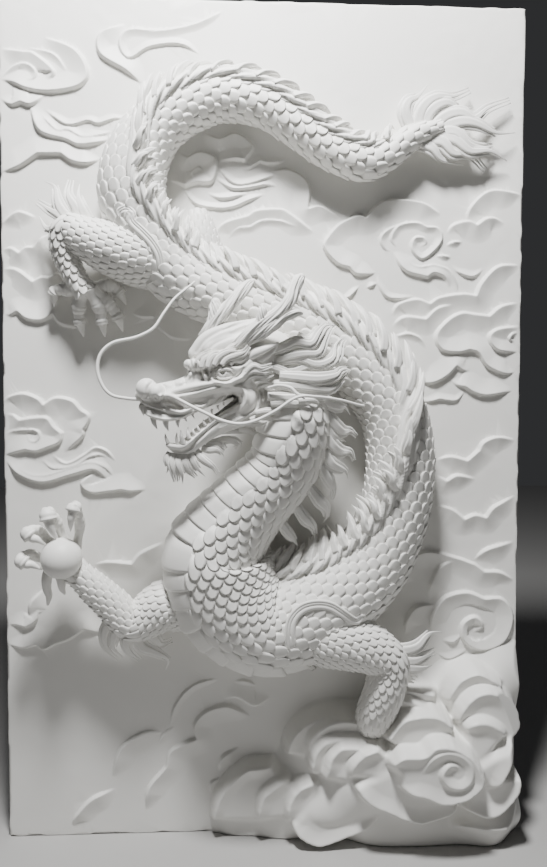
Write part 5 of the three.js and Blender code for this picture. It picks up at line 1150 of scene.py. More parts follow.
class DragonSettings(bpy.types.PropertyGroup):
    """Sizes of the scales, plates and tufts on the dragon."""

    scale_length: length_setting("Scale length", "Way from one row of body scales to the next", 21 * MM)
    scale_lift: length_setting("Scale lift", "How far a scale's free edge stands up", 5.4 * MM)
    limb_scale_length: length_setting(
        "Limb scale length", "Way from one row of limb scales to the next", 15.5 * MM
    )
    belly_length: length_setting("Belly plate length", "Way from one belly plate to the next", 33 * MM)
    rope_radius: length_setting("Rope radius", "Radius of the crest's rope at its thickest", 20 * MM)
    tuft_spacing: length_setting("Tuft spacing", "Way from one group of crest tips to the next", 40 * MM)
    tip_scale: bpy.props.FloatProperty(
        name="Tip scale", description="Size of the crest's tips", default=1.0, min=0.1, max=2,
    )


def skin(clay, track, rings, sides, inset=0.0, flat=1.0):
    s = np.linspace(0, track.length, rings)[:, None]
    angle = circle(sides)[None, :]
    clay.tube(track.place(s, angle, -inset, flat))


# A scale's outline: share of its length from root to free edge, and share of its half width there.
SCALE_ROWS = np.array([[0.0, 0.86], [0.5, 1.0], [0.72, 0.93], [0.88, 0.72], [0.97, 0.42], [1.0, 0.12]])
SCALE_COLUMNS = np.linspace(-1, 1, 5)
# Length of a scale over the way between rows, and how far round a form scales are laid, in radians
OVERLAP = 1.62
SCALE_REACH = 2.3


def scale_template():
    """Places (across, along) and shares of height of one scale, then its faces."""
    rows, columns = len(SCALE_ROWS), len(SCALE_COLUMNS)
    across = SCALE_ROWS[:, 1:2] * SCALE_COLUMNS[None]
    along = SCALE_ROWS[:, 0:1] * np.ones((1, columns))
    crown = 0.22 * (1 - SCALE_COLUMNS[None] ** 2) * (1 - SCALE_ROWS[:, 0:1])
    lift = SCALE_ROWS[:, 0:1] ** 1.1 + crown
    quads, rim, floor = plate_faces(rows, columns)
    across = np.concatenate([across.ravel(), across.ravel()[rim] * 0.9, [0]])
    along = np.concatenate([along.ravel(), along.ravel()[rim] * 0.95, [0.5]])
    lift = np.concatenate([lift.ravel(), np.full(len(rim) + 1, -0.9)])
    return across, along, lift, quads, floor


def lay_scales(clay, track, pitch, lift, width, keep=None, toward=-1, seed=0):
    """Lays staggered rows of scales on a track, free edges toward its start (-1) or its end (1)."""
    across, along, height, quads, triangles = scale_template()
    rng = np.random.default_rng(SEED + seed)
    rows = int(track.length / pitch)
    centres, turns, halves = [], [], []
    for row in range(rows):
        s = (row + 0.5) * pitch
        radius = float(track.read(track.radius, s))
        number = max(6, int(round(2 * np.pi * radius / (pitch * width))))
        turn = (np.arange(number) + 0.5 * (row % 2)) * 2 * np.pi / number
        centres.append(np.full(number, s))
        turns.append(turn)
        halves.append(np.full(number, np.pi / number))
    s, turn, half = (np.concatenate(part) for part in (centres, turns, halves))
    turn = np.arctan2(np.sin(turn), np.cos(turn))
    spot = track.place(s, turn)
    seen = (spot[:, 1] < FACE - 1 * MM) & (np.abs(turn) < SCALE_REACH)
    if keep is not None:
        seen &= keep(s, turn)
    s, turn, half = s[seen], turn[seen], half[seen]
    wobble = rng.uniform(0.9, 1.1, (len(s), 1))
    length = pitch * OVERLAP
    where = s[:, None] + toward * (along[None] - 0.5) * length
    where = np.clip(where, 0, track.length)
    angle = turn[:, None] + across[None] * half[:, None] * 1.04
    clay.add(track.place(where, angle, height[None] * lift * wobble), quads, triangles)


def ribbed_lock(clay, stations, ribs, flat, depth, sides=18, rings=20):
    """A lock of hair: a tapering form with grooves along it."""
    track = Track(stations, 60)
    s = np.linspace(0, track.length, rings)[:, None]
    angle = circle(sides)[None, :]
    groove = 1 - depth * (0.5 + 0.5 * np.cos(ribs * angle))
    radius = track.read(track.radius, s) * groove
    spoke = track.read(track.out, s[:, 0])[:, None] * (flat * np.cos(angle))[..., None]
    spoke = spoke + track.read(track.right, s[:, 0])[:, None] * np.sin(angle)[..., None]
    clay.tube(track.read(track.middle, s[:, 0])[:, None] + spoke * radius[..., None])


def from_crest(track, s, turn):
    crest = track.read(track.crest, s)
    return np.arctan2(np.sin(turn - crest), np.cos(turn - crest))


# Where the belly plates begin, in radians from the crest, from the tail to the head
BELLY_SHARES = (0.0, 0.3, 0.42, 0.62, 1.0)
BELLY_ANGLES = (2.7, 2.65, 2.3, 2.3, 1.88)


def belly_from(track, s):
    return np.interp(s / track.length, BELLY_SHARES, BELLY_ANGLES)


class RELIEF_OT_body(bpy.types.Operator):
    """Builds the dragon's body: its skin, single scales and belly plates"""

    bl_idname = "relief.body"
    bl_label = "Body and scales"

    def execute(self, context):
        settings = context.scene.relief_dragon
        track = Track(BODY, 500)
        clay = Clay()
        skin(clay, track, 240, 36, inset=2.5 * MM)
        dress(clay.piece("dragon_skin"))
        clay = Clay()
        on_back = lambda s, turn: np.abs(from_crest(track, s, turn)) < belly_from(track, s)
        lay_scales(clay, track, settings.scale_length, settings.scale_lift, 1.36, keep=on_back)
        dress(clay.piece("dragon_scales"))
        clay = Clay()
        self.belly(clay, track, settings.belly_length, settings.scale_lift * 0.9)
        dress(clay.piece("dragon_belly"))
        return {"FINISHED"}

    def belly(self, clay, track, pitch, lift):
        """Broad plates across the belly, each over the one behind it."""
        columns, rows = 15, 4
        u = np.linspace(-1, 1, columns)
        v = np.array([0, 0.5, 0.9, 1.0])
        across, along = np.meshgrid(u, v, indexing="xy")
        rise = along**1.4 * (1 - 0.85 * np.abs(across) ** 3)
        rise[-1] *= 0.72
        quads, rim, floor = plate_faces(rows, columns)
        across = np.concatenate([across.ravel(), across.ravel()[rim] * 0.96, [0]])
        along = np.concatenate([along.ravel(), along.ravel()[rim], [0.5]])
        rise = np.concatenate([rise.ravel(), np.full(len(rim) + 1, -0.8)])
        count = int(track.length / pitch)
        s = (np.arange(count) + 0.6)[:, None] * pitch
        where = np.clip(s - (along - 0.5 - 0.16 * across**2)[None] * pitch * 1.3, 0, track.length)
        half = np.pi - belly_from(track, where) + 0.12
        turn = track.read(track.crest, where) + np.pi + across[None] * half
        points = track.place(where, turn, rise[None] * lift)
        seen = points[:, :, 1].min(axis=1) < FACE
        clay.add(points[seen], quads, floor)


class RELIEF_OT_crest(bpy.types.Operator):
    """Builds the crest: a twisted rope of hair with flame tips along its outer side"""

    bl_idname = "relief.crest"
    bl_label = "Crest"

    def execute(self, context):
        settings = context.scene.relief_dragon
        track = Track(BODY, 500)
        rng = np.random.default_rng(SEED + 3)
        start, end = (share * track.length for share in CREST_SPAN)
        clay = Clay()
        self.rope(clay, track, start, end, settings)
        for s in np.arange(start, end, settings.tuft_spacing):
            for root, length, radius, rise in CREST_TIPS:
                self.tip(clay, track, s, root, length, radius, rise, settings, rng)
        dress(clay.piece("dragon_crest"))
        return {"FINISHED"}

    def size(self, track, s):
        return np.interp(s / track.length, CREST_SHARES, CREST_SIZES)

    def side(self, track, s):
        """The crest's outer side: 1 or -1, and between them where it crosses the body's front."""
        return np.clip(track.read(track.crest, s) / 0.4, -1, 1)

    def rope(self, clay, track, start, end, settings):
        s = np.arange(start, end, 4 * MM)
        turn = track.read(track.crest, s)
        middle = track.place(s, turn, 4 * MM * self.size(track, s))
        away = unit(track.place(s, turn, 20 * MM) - middle)
        across = unit(np.cross(unit(np.gradient(middle, axis=0)), away))
        angle = np.linspace(-np.pi, np.pi, 48, endpoint=False)[None]
        thin = np.sqrt(np.clip(np.minimum(s - start, end - s) / 0.05, 0, 1))
        radius = (settings.rope_radius * self.size(track, s) * thin + 0.5 * MM)[:, None]
        twist = np.cumsum(self.side(track, s)) * 4 * MM * ROPE_TWIST
        wave = 0.5 * value_noise(s[:, None] + 0 * angle, 0.02 * angle, 0.03, SEED + 8)
        phase = ROPE_STRANDS * angle + twist[:, None] + wave
        strand = 0.5 * (np.abs(np.sin(0.5 * phase)) - 0.64)
        ridge = strand + 0.09 * np.cos(3 * phase) + 0.05 * np.cos(7 * phase)
        spoke = away[:, None] * 0.8 * np.cos(angle)[..., None]
        spoke = spoke + across[:, None] * np.sin(angle)[..., None]
        clay.tube(middle[:, None] + spoke * (radius * (1 + ridge))[..., None])

    def tip(self, clay, track, s, root, length, radius, rise, settings, rng):
        """A strand's free end: it leaves the rope's outer side, bends toward the tail and flicks up."""
        size = float(self.size(track, s)) * rng.uniform(0.85, 1.15) * settings.tip_scale
        share = np.linspace(0, 1, 8)
        s = s + rng.uniform(-6, 6) * MM
        where = np.clip(s - length * MM * size * share, 0, track.length)
        sway = root + (40 + rng.uniform(-7, 7)) * share**1.3 + 3 * np.sin(7 * share)
        sway = self.side(track, s) * sway * MM * size
        turn = track.read(track.crest, where) + sway / np.maximum(track.read(track.radius, where), 25 * MM)
        height = (4 + rise * np.sin(np.pi * np.minimum(0.2 + 0.8 * share, 1)) + 30 * share**1.7) * MM * size
        line = track.place(where, turn, height)
        above = track.place(where, turn, height + 15 * MM)
        swell = np.sqrt(np.sin(np.pi * (0.3 + 0.7 * share)))
        girth = radius * MM * size * swell * (1 - 0.45 * share) + 0.4 * MM
        rows, _ = smooth_rows(np.hstack([line, girth[:, None], above - line]), 16, 3)
        middle, girth, away = rows[:, :3], rows[:, 3], rows[:, 4:]
        ahead = unit(np.gradient(middle, axis=0))
        across = unit(np.cross(ahead, away))
        away = np.cross(across, ahead)
        angle = circle(16)
        groove = 1 - 0.35 * (0.5 + 0.5 * np.cos(4 * angle + 0.6))
        spoke = away[:, None] * (0.9 * np.cos(angle))[None, :, None]
        spoke = spoke + across[:, None] * np.sin(angle)[None, :, None]
        clay.tube(middle[:, None] + spoke * (girth[:, None] * groove)[..., None])


class RELIEF_OT_limbs(bpy.types.Operator):
    """Builds the legs and the arm with their scales"""

    bl_idname = "relief.limbs"
    bl_label = "Legs and arm"

    def execute(self, context):
        settings = context.scene.relief_dragon
        bare, scaled = Clay(), Clay()
        for seed, stations in enumerate(LIMBS):
            track = Track(stations, 200)
            skin(bare, track, 60, 28, inset=1.5 * MM)
            pitch = settings.limb_scale_length
            lay_scales(scaled, track, pitch, settings.scale_lift, 1.12, toward=1, seed=seed)
        dress(bare.piece("limb_skin"))
        dress(scaled.piece("limb_scales"))
        bands = Clay()
        for rows in THIGH_BANDS:
            self.band(bands, np.array(rows, float))
        dress(bands.piece("thigh_bands"))
        return {"FINISHED"}

    def band(self, clay, rows):
        """Three cords side by side round a thigh, the outermost the thickest."""
        ahead = unit(np.gradient(rows[:, :2], axis=0))
        side = np.stack([-ahead[:, 1], ahead[:, 0]], axis=-1)
        for offset, size in ((0.0, 1.0), (1.25, 0.62), (2.05, 0.5)):
            cord = rows.copy()
            cord[:, :2] += side * (offset * rows[:, 3])[:, None]
            cord[:, 2] += 0.15 * offset
            cord[:, 3] *= size
            skin(clay, Track(cord, 120), 60, 14)


class RELIEF_OT_feet(bpy.types.Operator):
    """Builds the toes and fingers with their knuckles and talons, the palm and the pearl"""

    bl_idname = "relief.feet"
    bl_label = "Feet, hand and pearl"

    def execute(self, context):
        clay = Clay()
        for digits, talon in ((TOES, 0.74), (FINGERS, 0.72)):
            for stations in digits:
                self.digit(clay, Track(stations, 120), talon)
        for stations in PALM_FORMS:
            skin(clay, Track(stations, 80), 24, 20)
        dress(clay.piece("feet_and_hand"))
        clay = Clay()
        x, z, out, radius = PEARL
        clay.tube(at(x, z, out) + radius * ACROSS * ball(34, 56))
        dress(clay.piece("pearl"))
        return {"FINISHED"}

    def digit(self, clay, track, talon):
        """A digit with knuckle bulges and folds, cut off square where its talon comes out."""
        rings, sides = 56, 20
        share = np.linspace(0, 1, rings)
        past = talon + (1 - talon) * (share - 0.92) / 0.08 * 0.06
        share = np.where(share > 0.92, past, share / 0.92 * talon)
        s = share * track.length
        part = share / talon
        angle = circle(sides)
        knuckle = 0.13 * np.cos(2 * np.pi * (2.0 * part - 1.0))
        fold = -0.10 * np.exp(-(((np.mod(part * 8, 1) - 0.5) / 0.16) ** 2))
        fold = fold * smoothstep((part - 0.3) / 0.2)
        cap = 0.12 * smoothstep((part - 0.84) / 0.04)
        close = np.where(part > 1, 0.4, 0.0)
        swell = (knuckle + fold + cap - close) * track.read(track.radius, s)
        clay.tube(track.place(s[:, None], angle[None], swell[:, None]))
        share = np.linspace(talon - 0.03, 1, 16)
        s = share * track.length
        radius = float(track.read(track.radius, talon * track.length)) * 0.74
        run = (share - share[0]) / (1 - share[0])
        thin = radius * (1 - run**1.6) + 0.6 * MM - track.read(track.radius, s)
        clay.tube(track.place(s[:, None], angle[None], thin[:, None]))


class HeadSettings(bpy.types.PropertyGroup):
    """How finely the head is fused and carved."""

    voxel: length_setting("Voxel", "Size at which the head's forms are fused into one", 2.3 * MM)
    softening: bpy.props.IntProperty(
        name="Softening", description="Smoothing passes over the fused head", default=9, min=0, max=60,
    )
    fold_share: bpy.props.FloatProperty(
        name="Fold share", description="Share of every fold's height and groove's depth", default=1.2,
        min=0, max=2,
    )


def line_reach(rows, x, z):
    """Distance from points to a line, its sign by the side, and the line's own two columns there."""
    best = np.full(x.shape, 1e9)
    side = np.ones(x.shape)
    first = np.zeros(x.shape)
    second = np.zeros(x.shape)
    for start, end in zip(rows, rows[1:]):
        step = end[:2] - start[:2]
        size = max(np.hypot(*step), 1e-9)
        dx, dz = x - start[0], z - start[1]
        t = np.clip((dx * step[0] + dz * step[1]) / size**2, 0, 1)
        distance = np.hypot(dx - t * step[0], dz - t * step[1])
        closer = distance < best
        best = np.where(closer, distance, best)
        side = np.where(closer, np.sign(step[0] * dz - step[1] * dx), side)
        first = np.where(closer, start[2] + t * (end[2] - start[2]), first)
        second = np.where(closer, start[3] + t * (end[3] - start[3]), second)
    return best, side, first, second


def inside_shape(corners, x, z):
    """Which points lie inside a closed outline."""
    inside = np.zeros(x.shape, bool)
    for (ax, az), (bx, bz) in zip(corners, np.roll(corners, -1, axis=0)):
        crosses = (az > z) != (bz > z)
        at_x = ax + (z - az) * (bx - ax) / np.where(bz == az, 1e-9, bz - az)
        inside ^= crosses & (x < at_x)
    return inside


def mesh_arrays(mesh):
    count = len(mesh.vertices)
    points, normals = np.empty(count * 3), np.empty(count * 3)
    mesh.vertices.foreach_get("co", points)
    mesh.vertices.foreach_get("normal", normals)
    return points.reshape(-1, 3), normals.reshape(-1, 3)


def carve(obj, strokes, dents, share=1.0):
    """Raises folds and cuts grooves and hollows in the side of a form that faces the viewer.

    A stroke is its lean and rows of across, up, width in squares and height in millimetres.
    A dent is its depth in millimetres, the width of its edge in squares and its outline.
    """
    points, normals = mesh_arrays(obj.data)
    x = (points[:, 0] + WIDTH / 2) / ACROSS
    z = points[:, 2] / UP
    push = np.zeros(len(points))
    for lean, rows in strokes:
        rows, _ = smooth_rows(np.array(rows, float), 6 * len(rows), 2)
        low = rows[:, :2].min(axis=0) - 3 * rows[:, 2].max()
        high = rows[:, :2].max(axis=0) + 3 * rows[:, 2].max()
        near = (x > low[0]) & (x < high[0]) & (z > low[1]) & (z < high[1])
        if not near.any():
            continue
        distance, side, width, height = line_reach(rows, x[near], z[near])
        width = width * (1 + lean * side)
        push[near] += height * MM * np.exp(-((distance / np.maximum(width, 0.02)) ** 2))
    for depth, edge, corners in dents:
        corners = np.array(corners, float)
        rim = np.hstack([np.vstack([corners, corners[:1]]), np.ones((len(corners) + 1, 2))])
        distance, _, _, _ = line_reach(rim, x, z)
        signed = np.where(inside_shape(corners, x, z), distance, -distance)
        push -= depth * MM * smoothstep(0.5 + 0.5 * signed / edge)
    facing = smoothstep((-normals[:, 1] + 0.15) / 0.4)
    points[:, 1] -= push * facing * share
    obj.data.vertices.foreach_set("co", points.ravel())
    obj.data.update()


def fuse(obj, voxel, softening):
    """Joins a piece's forms into one skin and softens their seams."""
    modifier = obj.modifiers.new("fuse", "REMESH")
    modifier.mode = "VOXEL"
    modifier.voxel_size = voxel
    modifier.use_smooth_shade = True
    apply_modifiers(obj)
    soften(obj, softening)


class RELIEF_OT_head(bpy.types.Operator):
    """Builds the head with its jaws, folds, eye and teeth"""

    bl_idname = "relief.head"
    bl_label = "Head"

    def execute(self, context):
        settings = context.scene.relief_head
        clay = Clay()
        for flat, stations in HEAD_FORMS:
            track = Track(stations, 90)
            skin(clay, track, 40, 40, flat=flat)
            for station in (stations[0], stations[-1]):
                self.end(clay, station, flat)
        head = clay.piece("dragon_head")
        fuse(head, settings.voxel, settings.softening)
        carve(head, HEAD_STROKES, HEAD_DENTS, settings.fold_share)
        thin_out(head, HEAD_TRIANGLES)
        dress(head)
        clay = Clay()
        self.eye(clay)
        dress(clay.piece("dragon_eye"))
        clay = Clay()
        for x, z, tip_x, tip_z, out, radius in TEETH:
            middle = [(x + tip_x) / 2 - 0.12, (z + tip_z) / 2, out + 0.15, radius * 0.72]
            rows = [[x, z, out, radius], middle, [tip_x, tip_z, out, 0.06]]
            skin(clay, Track(rows, 40), 14, 14)
        dress(clay.piece("dragon_teeth"))
        return {"FINISHED"}

    def end(self, clay, station, flat):
        """Rounds the end of a form."""
        x, z, out, radius = station
        clay.tube(at(x, z, out) + radius * ACROSS * ball(16, 24, flat))

    def eye(self, clay):
        """An eyeball with a rimmed iris and a drilled pupil, looking ahead."""
        x, z, out, radius = EYE
        pupil_x, pupil_z, iris, pupil = EYE_PUPIL
        eyeball = ball(60, 64)[..., [0, 2, 1]] * [1, -1, 1]
        points = at(x, z, out) + radius * ACROSS * eyeball * [1.25, 0.8, 0.85]
        across = (points[..., 0] + WIDTH / 2) / ACROSS - pupil_x
        up = points[..., 2] / UP - pupil_z
        distance = np.hypot(across, up)
        front = eyeball[..., 1] < 0
        sink = 6 * smoothstep((pupil - distance) / (0.35 * pupil) + 0.5)
        sink = sink - 0.8 * np.exp(-(((distance - iris) / (0.18 * iris)) ** 2))
        points[..., 1] += np.where(front, sink, 0) * MM
        clay.tube(points)
        for rows in EYELIDS:
            skin(clay, Track(rows, 60), 30, 12)


class RELIEF_OT_hair(bpy.types.Operator):
    """Builds the mane, beard, brow and knee locks and the tail's tuft"""

    bl_idname = "relief.hair"
    bl_label = "Mane, beard and tufts"

    def execute(self, context):
        for name, locks, ribs, flat, depth in (
            ("mane", MANE, 5, 0.7, 0.26),
            ("neck_mane", NECK_LOCKS, 5, 0.65, 0.26),
            ("beard", BEARD, 4, 0.8, 0.22),
            ("brow_tufts", BROW_TUFTS, 4, 0.7, 0.24),
            ("joint_tufts", JOINT_TUFTS, 4, 0.6, 0.26),
            ("tail_tuft", TAIL_TUFT, 4, 0.6, 0.26),
        ):
            clay = Clay()
            for k, rows in enumerate(locks):
                self.lock(clay, rows, ribs, flat, depth, k)
            dress(clay.piece(name))
        return {"FINISHED"}

    def lock(self, clay, rows, ribs, flat, depth, k):
        """A main strand with a thinner one on each side, which part from it toward the tip."""
        rows = np.array(rows, float)
        share = np.linspace(0, 1, len(rows))
        ahead = unit(np.gradient(rows[:, :2], axis=0))
        side = np.stack([-ahead[:, 1], ahead[:, 0]], axis=-1)
        for offset, size, sunk in ((0.0, 1.0, 0.0), (0.6, 0.72, 0.2), (-0.6, 0.72, 0.2)):
            strand = rows.copy()
            spread = offset * rows[:, 3] * (0.9 + 0.9 * share)
            strand[:, :2] += side * (spread + 0.35 * offset * share**2)[:, None]
            strand[:, 2] -= sunk * rows[:, 3]
            strand[:, 3] *= size * (1 - 0.8 * share**3)
            if offset:
                keep = max(3, len(rows) - 1 + (k % 2))
                strand = strand[:keep]
                strand[-1, 3] = 0.12
            strand_ribs = ribs if not offset else max(3, ribs - 1)
            ribbed_lock(clay, strand, strand_ribs, flat, depth)


class RELIEF_OT_horns(bpy.types.Operator):
    """Builds the branched, grooved horns and the ear"""

    bl_idname = "relief.horns"
    bl_label = "Horns and ear"

    def execute(self, context):
        clay = Clay()
        for k, rows in enumerate(HORNS):
            track = Track(rows, 120)
            s = np.linspace(0, track.length, 50)[:, None]
            angle = circle(64)[None, :]
            turn = angle + 1.6 * s / track.length + k
            groove = 0.10 * np.cos(6 * turn) + 0.08 * np.cos(11 * turn + 9 * s / track.length)
            groove = groove + 0.06 * np.cos(17 * turn - 14 * s / track.length)
            clay.tube(track.place(s, angle, groove * track.read(track.radius, s)))
            self.tip(clay, rows[-1])
        dress(clay.piece("horns"))
        clay = Clay()
        self.ear(clay)
        dress(clay.piece("ear"))
        return {"FINISHED"}

    def tip(self, clay, station):
        x, z, out, radius = station
        clay.tube(at(x, z, out) + 1.02 * radius * ACROSS * ball(10, 16))

    def ear(self, clay):
        """A pointed ear hollowed on its lower front side."""
        track = Track(EAR, 80)
        s = np.linspace(0, track.length, 30)[:, None]
        angle = circle(40)[None, :]
        share = s / track.length
        hollow = np.exp(-(((np.arctan2(np.sin(angle - 0.7), np.cos(angle - 0.7))) / 0.62) ** 2))
        hollow = hollow * smoothstep(share / 0.3) * smoothstep((1.02 - share) / 0.25)
        clay.tube(track.place(s, angle, -0.75 * hollow * track.read(track.radius, s), flat=0.75))


class RELIEF_OT_whiskers(bpy.types.Operator):
    """Builds the two long whiskers and the fork of the near one"""

    bl_idname = "relief.whiskers"
    bl_label = "Whiskers"

    def execute(self, context):
        for name, lines in (("whisker_near", (WHISKER_NEAR, WHISKER_FORK)), ("whisker_far", (WHISKER_FAR,))):
            clay = Clay()
            for rows in lines:
                track = Track([[x, z, out, WHISKER_RADIUS] for x, z, out in rows], 300)
                s = np.linspace(0, track.length, 130)[:, None]
                angle = circle(16)[None, :]
                thin = -0.3 * track.radius[0] * smoothstep(s / track.length * 1.6 - 0.6)
                clay.tube(track.place(s, angle, thin))
            dress(clay.piece(name + "_line"), name)
        return {"FINISHED"}


# Colours of the plaster, its mottling and the painted shade at its foot
PLASTER_WHITE = (0.62, 0.615, 0.60, 1.0)
PLASTER_GREY = (0.56, 0.555, 0.54, 1.0)
FOOT_SHADE_COLOUR = (0.42, 0.38, 0.33, 1.0)


def plaster_material():
    """White plaster with trowel marks and fine pits, and painted shade darkening its lower edge in blotches.
    """
    old = bpy.data.materials.get("plaster")
    if old:
        return old
    material = bpy.data.materials.new("plaster")
    material.use_nodes = True
    nodes, links = material.node_tree.nodes, material.node_tree.links
    shader = nodes["Principled BSDF"]
    shader.inputs["Roughness"].default_value = 0.72
    shader.inputs["Specular IOR Level"].default_value = 0.35
    place = nodes.new("ShaderNodeNewGeometry")
    height = nodes.new("ShaderNodeSeparateXYZ")
    links.new(place.outputs["Position"], height.inputs["Vector"])

    def noise(size, detail, roughness=0.5):
        node = nodes.new("ShaderNodeTexNoise")
        node.inputs["Scale"].default_value = 1 / size
        node.inputs["Detail"].default_value = detail
        node.inputs["Roughness"].default_value = roughness
        links.new(place.outputs["Position"], node.inputs["Vector"])
        return node

    def remap(source, low, high, to_low, to_high):
        node = nodes.new("ShaderNodeMapRange")
        node.inputs["From Min"].default_value = low
        node.inputs["From Max"].default_value = high
        node.inputs["To Min"].default_value = to_low
        node.inputs["To Max"].default_value = to_high
        links.new(source, node.inputs["Value"])
        return node.outputs["Result"]

    def times(a, b):
        node = nodes.new("ShaderNodeMath")
        node.operation = "MULTIPLY"
        links.new(a, node.inputs[0])
        links.new(b, node.inputs[1])
        return node.outputs["Value"]

    def mix(share, low, high):
        node = nodes.new("ShaderNodeMix")
        node.data_type = "RGBA"
        links.new(share, node.inputs["Factor"])
        for source, name in ((low, "A"), (high, "B")):
            socket = [one for one in node.inputs if one.name == name and one.type == "RGBA"][0]
            if isinstance(source, tuple):
                socket.default_value = source
            else:
                links.new(source, socket)
        return [one for one in node.outputs if one.type == "RGBA"][0]

    clouds = noise(0.35, 3)
    mottle = remap(clouds.outputs["Fac"], 0.38, 0.68, 0.0, 0.3)
    body = mix(mottle, PLASTER_WHITE, PLASTER_GREY)
    # Painted shade: the colour darkens over the lowest 9 cm, broken into blotches and strongest toward the
    # left
    foot = remap(height.outputs["Z"], 0.0, 0.09, 1.0, 0.0)
    shade_blotches = remap(noise(0.05, 6, 0.7).outputs["Fac"], 0.5, 0.68, 0.0, 0.75)
    left = remap(height.outputs["X"], -0.45, 0.1, 1.0, 0.25)
    painted_foot_shade = times(times(foot, shade_blotches), left)
    links.new(mix(painted_foot_shade, body, FOOT_SHADE_COLOUR), shader.inputs["Base Color"])
    trowel = nodes.new("ShaderNodeBump")
    trowel.inputs["Distance"].default_value = 0.9 * MM
    trowel.inputs["Strength"].default_value = 0.35
    links.new(noise(0.045, 4).outputs["Fac"], trowel.inputs["Height"])
    pits = nodes.new("ShaderNodeBump")
    pits.inputs["Distance"].default_value = 0.22 * MM
    pits.inputs["Strength"].default_value = 0.5
    links.new(noise(0.0035, 3, 0.6).outputs["Fac"], pits.inputs["Height"])
    links.new(trowel.outputs["Normal"], pits.inputs["Normal"])
    links.new(pits.outputs["Normal"], shader.inputs["Normal"])
    return material


# The photograph's camera: place in metres, turn about the upright, tilt and roll in radians
CAMERA_PLACE = (-0.0602, -1.6843, 1.0314)
CAMERA_YAW = 0.0472
CAMERA_PITCH = -0.0422
CAMERA_ROLL = 0.0015
PHOTO_HEIGHT = 867
FOCAL_LENGTH_PIXELS = 700
SENSOR_HEIGHT = 36.0
# The large light's place and the point that it looks at, in metres
KEY_PLACE = (-0.15, -0.95, 2.95)
KEY_TARGET = (0.0, 0.0, 0.8)
FLOOR_GREY = (0.43, 0.425, 0.415, 1.0)
SKY_WHITE = (0.93, 0.95, 1.0, 1.0)


class StageSettings(bpy.types.PropertyGroup):
    """The plain floor, the soft studio light and the camera."""

    key_power: bpy.props.FloatProperty(name="Key power", description="Watts of the large light", default=128)
    key_size: length_setting("Key size", "Width of the large light", 0.4)
    fill: bpy.props.FloatProperty(
        name="Fill", description="Strength of the even light all round", default=0.035,
    )
    floor_size: length_setting("Floor size", "Width of the plain floor", 14.0)


class RELIEF_OT_stage(bpy.types.Operator):
    """Sets the plain floor, the soft light and the camera at the photograph's angle"""

    bl_idname = "relief.stage"
    bl_label = "Stage, light and camera"

    def execute(self, context):
        settings = context.scene.relief_stage
        half = settings.floor_size / 2
        mesh = bpy.data.meshes.new("floor")
        corners = [(-half, -half, 0), (half, -half, 0), (half, half, 0), (-half, half, 0)]
        mesh.from_pydata(corners, [], [(0, 1, 2, 3)])
        floor = bpy.data.objects.new("floor", mesh)
        context.scene.collection.objects.link(floor)
        material = bpy.data.materials.new("floor")
        material.use_nodes = True
        shader = material.node_tree.nodes["Principled BSDF"]
        shader.inputs["Base Color"].default_value = FLOOR_GREY
        shader.inputs["Roughness"].default_value = 0.9
        mesh.materials.append(material)
        floor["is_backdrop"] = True
        world = bpy.data.worlds.new("studio")
        world.use_nodes = True
        background = world.node_tree.nodes["Background"]
        background.inputs["Color"].default_value = SKY_WHITE
        background.inputs["Strength"].default_value = settings.fill
        context.scene.world = world
        self.light("key", KEY_PLACE, KEY_TARGET, settings.key_power, settings.key_size)
        self.camera(context)
        return {"FINISHED"}

    def light(self, name, place, target, power, size):
        data = bpy.data.lights.new(name, "AREA")
        data.shape = "DISK"
        data.size = size
        data.energy = power
        lamp = bpy.data.objects.new(name, data)
        lamp.location = place
        lamp.rotation_euler = (Vector(target) - Vector(place)).to_track_quat("-Z", "Y").to_euler()
        bpy.context.scene.collection.objects.link(lamp)

    def camera(self, context):
        level = math.cos(CAMERA_PITCH)
        ahead = Vector((math.sin(CAMERA_YAW) * level, math.cos(CAMERA_YAW) * level, math.sin(CAMERA_PITCH)))
        right = Vector((math.cos(CAMERA_YAW), -math.sin(CAMERA_YAW), 0))
        up = right.cross(ahead)
        rolled_right = right * math.cos(CAMERA_ROLL) + up * math.sin(CAMERA_ROLL)
        rolled_up = up * math.cos(CAMERA_ROLL) - right * math.sin(CAMERA_ROLL)
        turn = Matrix((rolled_right, rolled_up, -ahead)).transposed()
        data = bpy.data.cameras.new("photo_camera")
        data.sensor_fit = "VERTICAL"
        data.sensor_height = SENSOR_HEIGHT
        data.lens = SENSOR_HEIGHT * FOCAL_LENGTH_PIXELS / PHOTO_HEIGHT
        camera = bpy.data.objects.new("photo_camera", data)
        camera.matrix_world = Matrix.Translation(CAMERA_PLACE) @ turn.to_4x4()
        context.scene.collection.objects.link(camera)
        context.scene.camera = camera


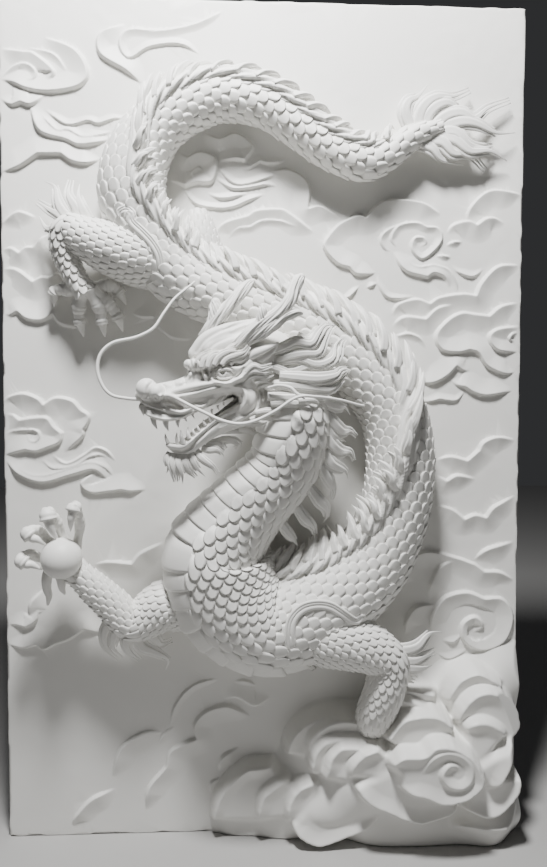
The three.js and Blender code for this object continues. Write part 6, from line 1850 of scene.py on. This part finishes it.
class RELIEF_PT_build(bpy.types.Panel):
    """Lists the pieces of the relief in the sidebar"""

    bl_idname = "RELIEF_PT_build"
    bl_label = "Relief Panel"
    bl_space_type = "VIEW_3D"
    bl_region_type = "UI"
    bl_category = "Relief Panel"

    def draw(self, context):
        for operator in OPERATORS:
            self.layout.operator(operator.bl_idname)
        for name in SETTINGS:
            box = self.layout.box()
            group = getattr(context.scene, name)
            for key in group.bl_rna.properties.keys():
                if key not in ("name", "rna_type"):
                    box.prop(group, key)


SETTINGS = {
    "relief_panel": PanelSettings,
    "relief_bank": BankSettings,
    "relief_dragon": DragonSettings,
    "relief_head": HeadSettings,
    "relief_stage": StageSettings,
}
OPERATORS = (
    RELIEF_OT_panel_face,
    RELIEF_OT_cloud_bank,
    RELIEF_OT_body,
    RELIEF_OT_crest,
    RELIEF_OT_limbs,
    RELIEF_OT_feet,
    RELIEF_OT_head,
    RELIEF_OT_hair,
    RELIEF_OT_horns,
    RELIEF_OT_whiskers,
    RELIEF_OT_stage,
)


def register():
    for name, group in SETTINGS.items():
        bpy.utils.register_class(group)
        setattr(bpy.types.Scene, name, bpy.props.PointerProperty(type=group))
    for operator in OPERATORS:
        bpy.utils.register_class(operator)
    bpy.utils.register_class(RELIEF_PT_build)


def unregister():
    bpy.utils.unregister_class(RELIEF_PT_build)
    for operator in reversed(OPERATORS):
        bpy.utils.unregister_class(operator)
    for name, group in SETTINGS.items():
        delattr(bpy.types.Scene, name)
        bpy.utils.unregister_class(group)


def main():
    register()
    bpy.ops.relief.panel_face()
    bpy.ops.relief.cloud_bank()
    bpy.ops.relief.body()
    bpy.ops.relief.crest()
    bpy.ops.relief.limbs()
    bpy.ops.relief.feet()
    bpy.ops.relief.head()
    bpy.ops.relief.hair()
    bpy.ops.relief.horns()
    bpy.ops.relief.whiskers()
    bpy.ops.relief.stage()
    sizes = {
        "solid_box": [list(corner) for corner in SOLID_BOX],
        "visual_box": [list(corner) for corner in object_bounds()],
    }


if __name__ == "__main__":
    main()
